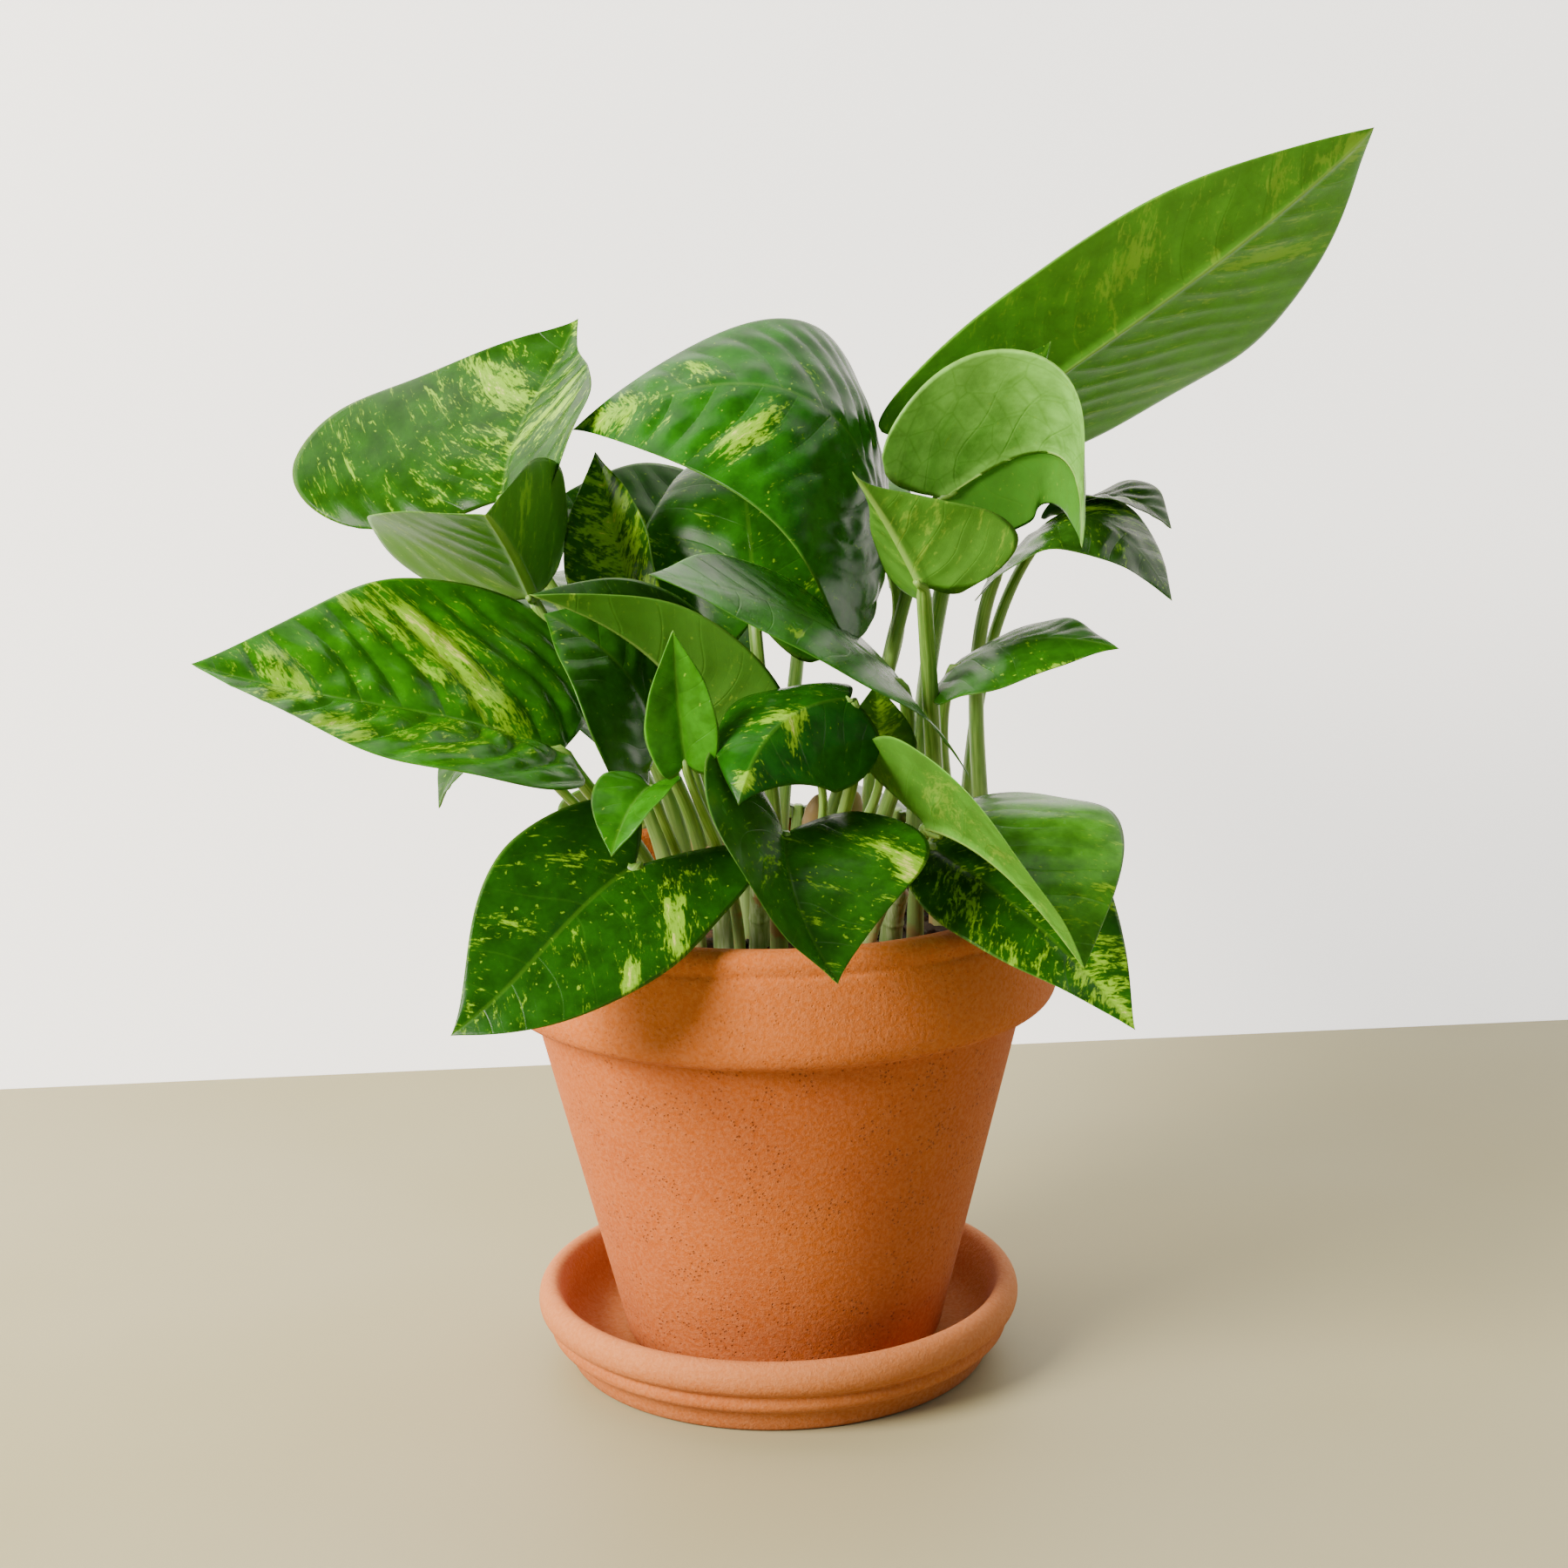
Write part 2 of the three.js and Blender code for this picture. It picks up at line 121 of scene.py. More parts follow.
def gridFaces(rows, columns, ring=False):
    # quads of a grid joined round its columns; its rows join into a ring too, or else a fan closes each end,
    # to one point for the first row and the next point for the last
    row = np.arange(rows if ring else rows - 1)[:, None]
    column = np.arange(columns)
    nextRow, nextColumn = (row + 1) % rows, (column + 1) % columns
    quads = np.stack([row * columns + column, row * columns + nextColumn, nextRow * columns + nextColumn,
                      nextRow * columns + column], -1)
    faces = quads.reshape(-1, 4).tolist()
    if not ring:
        last = (rows - 1) * columns
        fans = [(rows * columns, nextColumn, column), (rows * columns + 1, last + column, last + nextColumn)]
        for pole, a, b in fans:
            faces += np.stack([0 * column + pole, a, b], -1).tolist()
    return faces


def roundCorners(profile, ring):
    # corner cutting, twice: each side keeps its middle half, and an open profile keeps its ends
    points = np.array(profile, float)
    for _ in range(2):
        a, b = (points, np.roll(points, -1, 0)) if ring else (points[:-1], points[1:])
        cut = np.stack([0.75 * a + 0.25 * b, 0.25 * a + 0.75 * b], 1).reshape(-1, 2)
        points = cut if ring else np.vstack([points[:1], cut, points[-1:]])
    return points


def lathe(name, profile, ring, shiftX, material, wobble, seed):
    # a profile of (radius, height) in mm turned round the axis, its radius uneven by three slow waves; a
    # ring profile closes on itself, and another starts and ends on the axis
    profile = roundCorners(profile, ring)
    turns = np.linspace(0, fullTurn, 256, endpoint=False)
    phases = np.random.default_rng(seed).uniform(0, fullTurn, 4)
    uneven = 1 + sum(np.cos(k * turns + phases[k - 2]) / k for k in (2, 3, 5)) * wobble / 60
    radius, height = profile[:, :1] * uneven, profile[:, 1:] + 0 * turns
    body = np.stack([radius * np.cos(turns) + shiftX, radius * np.sin(turns), height], -1)
    if ring:
        points = body.reshape(-1, 3)
    else:
        body = body[1:-1]
        poles = [[shiftX, 0, profile[0, 1]], [shiftX, 0, profile[-1, 1]]]
        points = np.vstack([body.reshape(-1, 3), poles])
    return buildMesh(name, points * mm, gridFaces(len(body), len(turns), ring), [material])


# fired clay: open, dusty and matt, with grain and pits that catch the light; bandEdge and lowTop are heights
# in metres
clay = {
    "pot": {
        # low is the colour of painted shade towards the foot
        "light": "ac5506", "dark": "a34c04", "band": "b45e12", "low": "8a4410", "pit": "5e2a08", "pits": 0.42,
        # pit is the colour of painted shade in the pits
        "bandEdge": (0.1035, 0.106), "lowTop": 0.06,
    },
    "saucer": {
        # the band colour here is painted light on the saucer's top rim
        "light": "ad6022", "dark": "a4561a", "band": "b8703a", "low": "8c4a18", "pit": "7c4522", "pits": 0.6,
        "bandEdge": (0.012, 0.019), "lowTop": 0.01,
    },
    "speck": "f0b98c",
}


def clayMaterial(name, look):
    # the clay is lighter on the rim's band, which on the saucer is painted light on its top rim, and darker
    # towards the foot, which is painted shade low down where it stands
    material, add = newMaterial(name)
    place = add("TexCoord", output="Object")
    height = add("SeparateXYZ", place, output="Z")
    broad = add("TexNoise", place, 30, 3, 0.5)  # cloudy firing, about 30 mm
    fine = add("TexNoise", place, 900, 3, 0.6)  # sand grain, about 1 mm
    grit = add("TexNoise", place, 2200, 2, 0.5)  # grit, drawn at 0.5 mm, as coarse as it needs to show
    # pits: 1.3 mm cells, kept only where a broader noise of about 9 mm allows them, and fewer on the band;
    # each pit is also painted darker, as painted shade in its hollow
    cells = add("TexVoronoi", place, Scale=760)
    allow = add("TexNoise", place, 110, 3, 0.6)
    reach = add("MapRange", allow, look["pits"], look["pits"] + 0.14, 0, 0.24)
    pit = add("MapRange", add("Math", cells, reach, operation="SUBTRACT"), -0.08, 0.04, 1, 0)
    pit = add("Math", pit, add("MapRange", allow, look["pits"], look["pits"] + 0.1), operation="MULTIPLY")
    pit = add("Math", pit, add("MapRange", height, *look["bandEdge"], 1, 0.3), operation="MULTIPLY")
    color = painted(
        add, rgba(look["dark"]),
        (add("MapRange", broad, 0.25, 0.75), 1, look["light"]),
        # lighter above bandEdge: on the saucer this is painted light on its top rim
        (add("MapRange", height, *look["bandEdge"]), 0.6, look["band"]),
        # painted shade: darker towards the foot, below lowTop
        (add("MapRange", height, look["lowTop"], 0), 0.45, look["low"]),
        (add("MapRange", fine, 0.32, 0.7), 0.1, clay["speck"]),
        # painted shade in the pits
        (pit, 0.5, look["pit"]),
    )
    relief = weightedSum(add, 0, (fine, 0.55), (grit, 0.3), (pit, -1))
    add("OutputMaterial", reliefBody(add, color, 0.86, relief, 0.8, 0.0005, IOR=1.5, Specular_IOR_Level=0.35))
    return material


potDims = {
    "top": 134, "base": 6.3, "rimRadius": 76, "rimDepth": 31, "bodyTopRadius": 66.5, "baseRadius": 43.5,
    "wall": 7, "floor": 8, "drainRadius": 7, "shiftX": 1.5, "wobble": 0.12,
}
saucerDims = {"radius": 66.5, "height": 22, "floor": 6, "footRadius": 57, "innerRadius": 55, "wobble": 0.1}


def potInside(z):
    # radius of the pot's straight inner wall at height z
    low = potDims["base"] + potDims["floor"]
    high = potDims["top"] - 3
    lowRadius = potDims["baseRadius"] + 1 - potDims["wall"]
    highRadius = potDims["rimRadius"] - 8.5
    return lowRadius + (highRadius - lowRadius) * (z - low) / (high - low)


def makePot():
    # up the outside from the drain hole, over the lip and down the inside
    base, baseRadius, drain = potDims["base"], potDims["baseRadius"], potDims["drainRadius"]
    top, rim, bodyTop = potDims["top"], potDims["rimRadius"], potDims["bodyTopRadius"]
    band = top - potDims["rimDepth"]
    floor = base + potDims["floor"]
    profile = [
        (drain, base), (baseRadius - 8, base), (baseRadius - 1.5, base), (baseRadius, base + 1.6),
        (baseRadius + 1.2, base + 7), (bodyTop - 0.8, band - 4.4), (bodyTop, band - 1), (rim - 5, band - 0.3),
        (rim - 2.2, band + 0.7), (rim - 0.9, band + 2.6), (rim - 0.1, band + 6), (rim - 0.3, band + 14),
        (rim - 0.8, top - 7.4), (rim - 1.5, top - 6.3), (rim - 1.3, top - 5.2), (rim - 1.1, top - 3.2),
        (rim - 1.8, top - 1.2), (rim - 3.6, top), (rim - 6.6, top), (rim - 8, top - 1.2),
        (potInside(top - 4), top - 4), (potInside(floor + 4), floor + 4), (potInside(floor) - 1, floor),
        (drain + 1, floor), (drain, floor - 1),
    ]
    skin = clayMaterial("terracotta pot", clay["pot"])
    pot = lathe("pot_clay", profile, True, potDims["shiftX"], skin, potDims["wobble"], 3)
    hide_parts("pot")
    return pot


def makeSaucer():
    # from the middle of the underside, up the outside with its rolled ridge, and back over the floor
    rim, top, foot = saucerDims["radius"], saucerDims["height"], saucerDims["footRadius"]
    inner, floor = saucerDims["innerRadius"], saucerDims["floor"]
    profile = [
        (0, 0), (foot - 6, 0), (foot, 0), (foot + 1.2, 1.4), (foot + 2.2, 6), (rim - 4.2, 7.4),
        (rim - 3.1, 8.8), (rim - 3.2, 10.8), (rim - 3.8, 11.8), (rim - 2.4, 12.6), (rim - 0.6, 14),
        (rim + 0.1, 16.8), (rim - 0.7, top - 1.9), (rim - 3, top - 0.1), (rim - 5.4, top - 0.5),
        (rim - 6.7, top - 2.8), (inner + 2, floor + 4), (inner - 1.5, floor + 0.8), (inner - 6, floor),
        (inner - 20, floor), (0, floor),
    ]
    skin = clayMaterial("terracotta saucer", clay["saucer"])
    saucer = lathe("saucer_clay", profile, False, 0, skin, saucerDims["wobble"], 5)
    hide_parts("saucer")
    return saucer


# potting soil: nearly black peat with brown bark that catches a little light
soilLook = {
    "top": 121, "radius": 59.5, "bottomGap": 0.3, "scatterRadius": 57.5, "rootDepth": 1.2,
    "peat": "2a1d14", "crumb": "3d2b1d", "fleck": "5a4530", "barkPore": "1d140e",
    "crumbs": {
        "count": 1500, "sizes": (0.5, 1.6), "seed": 21, "finer": False,
        "colors": ("2f2117", "3a2a1d", "251a12"),
    },
    "bark": {
        "count": 190, "sizes": (1.8, 4.6), "seed": 22, "finer": True,
        "colors": ("4a3020", "5c3d26", "33241a", "6b4a30"),
    },
}


def soilMaterial():
    material, add = newMaterial("peat potting mix")
    place = add("TexCoord", output="Object")
    broad = add("TexNoise", place, 160, 4, 0.65)  # damp patches, about 6 mm
    fine = add("TexNoise", place, 900, 4, 0.7)  # crumbs, about 1 mm
    color = painted(
        add, rgba(soilLook["peat"]),
        (add("MapRange", broad, 0.35, 0.7), 1, soilLook["crumb"]),
        (add("MapRange", fine, 0.6, 0.78), 1, soilLook["fleck"]),
    )
    add("OutputMaterial", reliefBody(add, color, 0.95, fine, 0.9, 0.0012))
    return material


def barkMaterial():
    # pine bark: rough and dull, with dark pores, each chip in a brown of its own
    material, add = newMaterial("pine bark")
    tone = add("Attribute", attribute_name="tint", output="Color")
    fine = add("TexNoise", add("TexCoord", output="Object"), 1100, 4, 0.7)
    color = painted(add, tone, (add("MapRange", fine, 0.3, 0.75), 1, soilLook["barkPore"]))
    add("OutputMaterial", reliefBody(add, color, 0.85, fine, 0.7, 0.0006))
    return material


def soilHeight(x, y, rng):
    # the sum of nine slow waves that run in random directions, a longer one higher
    out = np.zeros_like(x)
    for _ in range(9):
        turn, wave, phase = rng.uniform(0, fullTurn), rng.uniform(9, 34), rng.uniform(0, 6.28)
        out += np.cos((x * math.cos(turn) + y * math.sin(turn)) * fullTurn / wave + phase) * wave * 0.011
    return out


def makeSoil():
    # rings of the surface from its edge to the middle, and one ring on the pot's floor below them
    rings, segments = 64, 160
    shiftX, top = potDims["shiftX"], soilLook["top"] - 0.8
    bottom = potDims["base"] + potDims["floor"] + soilLook["bottomGap"]
    turns = np.linspace(0, fullTurn, segments, endpoint=False)
    radii = np.linspace(0, soilLook["radius"], rings)[1:, None]
    x = radii * np.cos(turns)
    y = radii * np.sin(turns)
    edge = np.clip((radii / soilLook["radius"] - 0.9) / 0.1, 0, 1)
    rng = np.random.default_rng(11)
    z = top + soilHeight(x, y, rng) * (1 - edge) - 1.6 * edge + rng.normal(0, 0.22, x.shape)
    surface = np.stack([x + shiftX, y, z], -1)[::-1]
    low = potInside(bottom) - 0.6
    lowRing = np.stack([low * np.cos(turns) + shiftX, low * np.sin(turns), 0 * turns + bottom], -1)
    points = np.vstack([lowRing, surface.reshape(-1, 3), [[shiftX, 0, bottom], [shiftX, 0, top]]])
    soil = buildMesh("soil_bed", points * mm, gridFaces(rings, segments), [soilMaterial()])
    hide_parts("soil")
    return soil


def lump(finer):
    # a ball of 20 faces, or of 80, made by putting a new corner on the middle of each edge
    t = (1 + math.sqrt(5)) / 2
    corners = np.array([(-1, t, 0), (1, t, 0), (-1, -t, 0), (1, -t, 0), (0, -1, t), (0, 1, t), (0, -1, -t),
                        (0, 1, -t), (t, 0, -1), (t, 0, 1), (-t, 0, -1), (-t, 0, 1)], float)
    faces = [(0, 11, 5), (0, 5, 1), (0, 1, 7), (0, 7, 10), (0, 10, 11), (1, 5, 9), (5, 11, 4), (11, 10, 2),
             (10, 7, 6), (7, 1, 8), (3, 9, 4), (3, 4, 2), (3, 2, 6), (3, 6, 8), (3, 8, 9), (4, 9, 5),
             (2, 4, 11), (6, 2, 10), (8, 6, 7), (9, 8, 1)]
    corners = unit(corners)
    if not finer:
        return corners, np.array(faces)
    middles, out, spots = {}, [], [*corners]
    for a, b, c in faces:
        ids = []
        for edge in ((a, b), (b, c), (c, a)):
            key = tuple(sorted(edge))
            if key not in middles:
                middles[key] = len(spots)
                spots.append(unit(corners[edge[0]] + corners[edge[1]]))
            ids.append(middles[key])
        out += [(a, ids[0], ids[2]), (b, ids[1], ids[0]), (c, ids[2], ids[1]), tuple(ids)]
    return np.array(spots), np.array(out)


def scatterLumps(name, look, material):
    # lumps evenly over the soil: each is the ball stretched, roughened, tilted about y and spun about z
    rng = np.random.default_rng(look["seed"])
    ball, faces = lump(look["finer"])
    points, allFaces, tints = [], [], []
    for _ in range(look["count"]):
        r = soilLook["scatterRadius"] * math.sqrt(rng.uniform(0, 1))
        turn = rng.uniform(0, fullTurn)
        size = rng.uniform(*look["sizes"])
        stretch = np.array([1.0, rng.uniform(0.5, 0.9), rng.uniform(0.3, 0.6)]) * size
        spin, tilt = rng.uniform(0, fullTurn), rng.normal(0, 0.35)
        body = ball * stretch * (1 + rng.normal(0, 0.12, (len(ball), 1)))
        ct, st = math.cos(tilt), math.sin(tilt)
        cs, ss = math.cos(spin), math.sin(spin)
        body = body @ np.array([[ct, 0, -st], [0, 1, 0], [st, 0, ct]])
        body = body @ np.array([[cs, ss, 0], [-ss, cs, 0], [0, 0, 1]])
        z = soilLook["top"] - 0.6 + rng.uniform(0, 0.45) * size
        allFaces.append(faces + len(points) * len(ball))
        points.append(body + (r * math.cos(turn) + potDims["shiftX"], r * math.sin(turn), z))
        tint = rgba(look["colors"][rng.integers(len(look["colors"]))])
        tints.append(np.tile(tint, (len(ball), 1)))
    return buildMesh(name, np.vstack(points) * mm, np.vstack(allFaces).tolist(), [material],
                     {"tint": ("FLOAT_COLOR", np.vstack(tints))}, smooth=look["finer"])


# leaf: waxy skin over green tissue; the wax gives soft highlights, the tissue glows a little from behind.
# thick and veinPitch are in mm, veinCurve is per mm, deepen is how the green darkens in each channel
leafLook = {
    "thick": 0.5, "veinPitch": 12, "veinLean": 0.5, "veinCurve": 0.009, "deepen": (0.5, 0.68, 0.26, 1),
    "yellow": "8cc01e", "cream": "d8dc6e", "veinTop": "5c9a22", "ribTop": "6da02e", "margin": "8fb553",
    "under": "72b442", "underVein": "568c26", "underRib": "a2ca62", "underYellow": "9cc63c", "glow": "7fc832",
}
stalkLook = {"dark": "5f8a30", "light": "8db354", "foot": "a9bd80", "sheath": "a88658"}


def leafMaterial():
    # the vein attribute holds mm along the side veins' feet, mm across, and the count of vein pitches; flat
    # holds mm along and across the flattened blade; under is 0 on the upper skin, 1 below, 0.5 on the margin
    material, add = newMaterial("waxy leaf skin")
    look = leafLook
    vein, flat = (add("Attribute", attribute_name=key, output="Vector") for key in ("vein", "flat"))
    numbers = ("mark", "under", "seed")
    mark, under, seed = (add("Attribute", attribute_name=key, output="Fac") for key in numbers)
    tint = add("Attribute", attribute_name="tint", output="Color")
    count = add("SeparateXYZ", vein, output="Z")
    across = add("Math", add("SeparateXYZ", flat, output="Y"), operation="ABSOLUTE")

    # marbling: noise drawn out along the side veins, about 3 mm by 8 mm, thresholded into streaks
    stretched = add("VectorMath", vein, (0.3, 0.13, 0), add("CombineXYZ", Z=seed), operation="MULTIPLY_ADD")
    streak = add("TexNoise", stretched, 1, 5, 0.66, Distortion=0.9)
    wide = add("TexNoise", stretched, 0.3, 2, 0.5)
    grain = add("TexNoise", stretched, 4.5, 3, 0.6)
    level = weightedSum(add, streak, (wide, 0.35), (grain, 0.5), (mark, 0.36))
    # flecks of 1 to 2 mm, scattered where the broader noise allows them
    fleck = weightedSum(add, add("TexNoise", flat, 0.55, 2, 0.5), (mark, 0.12), (wide, 0.2))
    fleck = add("MapRange", fleck, 0.77, 0.83, 0, 0.7)
    yellow = add("Math", add("MapRange", level, 1.045, 1.205), fleck, operation="MAXIMUM")
    cream = add("MapRange", level, 1.265, 1.425)

    # base green, mottled over about 8 mm and 1.5 mm
    cloud = add("TexNoise", flat, 0.12, 3, 0.6)
    mottle = add("TexNoise", flat, 0.7, 2, 0.6)
    shade = add("MapRange", cloud, 0.3, 0.7, 0.68, 1.26)
    shade = add("Math", shade, add("MapRange", mottle, 0.3, 0.7, -0.08, 0.08))
    green = add("VectorMath", tint, shade, operation="SCALE")

    def thinLines(perPitch, width, strength):
        # a line wherever the sine of the pitch count crosses nought
        wave = add("Math", add("Math", count, math.pi * perPitch, operation="MULTIPLY"), operation="SINE")
        return add("MapRange", add("Math", wave, operation="ABSOLUTE"), 0, width, strength, 0)

    # side veins fade to the margin, with minor ones between; the midrib is a pale line; a net shows below
    veinLine = add("Math", thinLines(1, 0.14, 1), add("MapRange", across, 30, 6), operation="MULTIPLY")
    minor = thinLines(3, 0.3, 0.2)
    rib = add("MapRange", across, 0.25, 0.8, 1, 0)
    net = add("MapRange", add("TexVoronoi", flat, feature="DISTANCE_TO_EDGE", Scale=0.13), 0, 0.05, 1, 0)
    top = painted(
        add, green, (yellow, 1, look["yellow"]), (cream, 1, look["cream"]),
        (veinLine, 0.07, look["veinTop"]), (rib, 0.16, look["ribTop"]),
    )
    below = painted(
        add, green, (1, 0.4, look["under"]), (net, 0.3, look["underVein"]),
        (yellow, 0.6, look["underYellow"]), (veinLine, 0.25, look["underVein"]), (rib, 0.7, look["underRib"]),
    )
    # the thin margin, pale where the skin turns over
    edge = add("Math", under, add("Math", 1, under, operation="SUBTRACT"), operation="MULTIPLY")
    color = painted(add, top, (under, 1, below), (add("MapRange", edge, 0.18, 0.25), 0.22, look["margin"]))

    fine = add("TexNoise", flat, 2.4, 3, 0.6)
    relief = weightedSum(add, 0, (fine, 0.3), (veinLine, -0.35), (minor, -0.35))
    gloss = weightedSum(add, add("MapRange", cloud, 0.3, 0.7, 0.18, 0.28), (under, 0.16))
    skin = reliefBody(add, color, gloss, relief, 0.35, 0.0004, IOR=1.45, Specular_IOR_Level=0.16,
                      Coat_Weight=0.02, Coat_Roughness=0.12)
    glow = add("BsdfTranslucent", painted(add, color, (1, 0.5, look["glow"])))
    add("OutputMaterial", add("MixShader", 0.25, skin, glow))
    return material


def stalkMaterial():
    # smooth leaf stalk: fresh green, waxy, with faint lengthwise lines and a tan dry sheath at its foot
    material, add = newMaterial("waxy leaf stalk")
    flat = add("Attribute", attribute_name="flat", output="Vector")
    along = add("SeparateXYZ", flat, output="X")  # mm from the foot
    lines = add("TexNoise", add("VectorMath", flat, (0.05, 1.2, 1), operation="MULTIPLY"), 1, 3, 0.6)
    patch = add("MapRange", add("TexNoise", add("TexCoord", output="Object"), 90, 3, 0.6), 0.5, 0.62)
    sheath = add("Math", patch, add("MapRange", along, 30, 14), operation="MULTIPLY")
    color = painted(
        add, rgba(stalkLook["dark"]),
        (add("MapRange", lines, 0.35, 0.7), 1, stalkLook["light"]),
        (add("MapRange", along, 46, 6), 0.55, stalkLook["foot"]),
        (sheath, 0.8, stalkLook["sheath"]),
    )
    body = reliefBody(add, color, 0.42, lines, 0.3, 0.0003, IOR=1.45, Subsurface_Weight=0.15,
                      Subsurface_Scale=0.002)
    add("OutputMaterial", body)
    return material


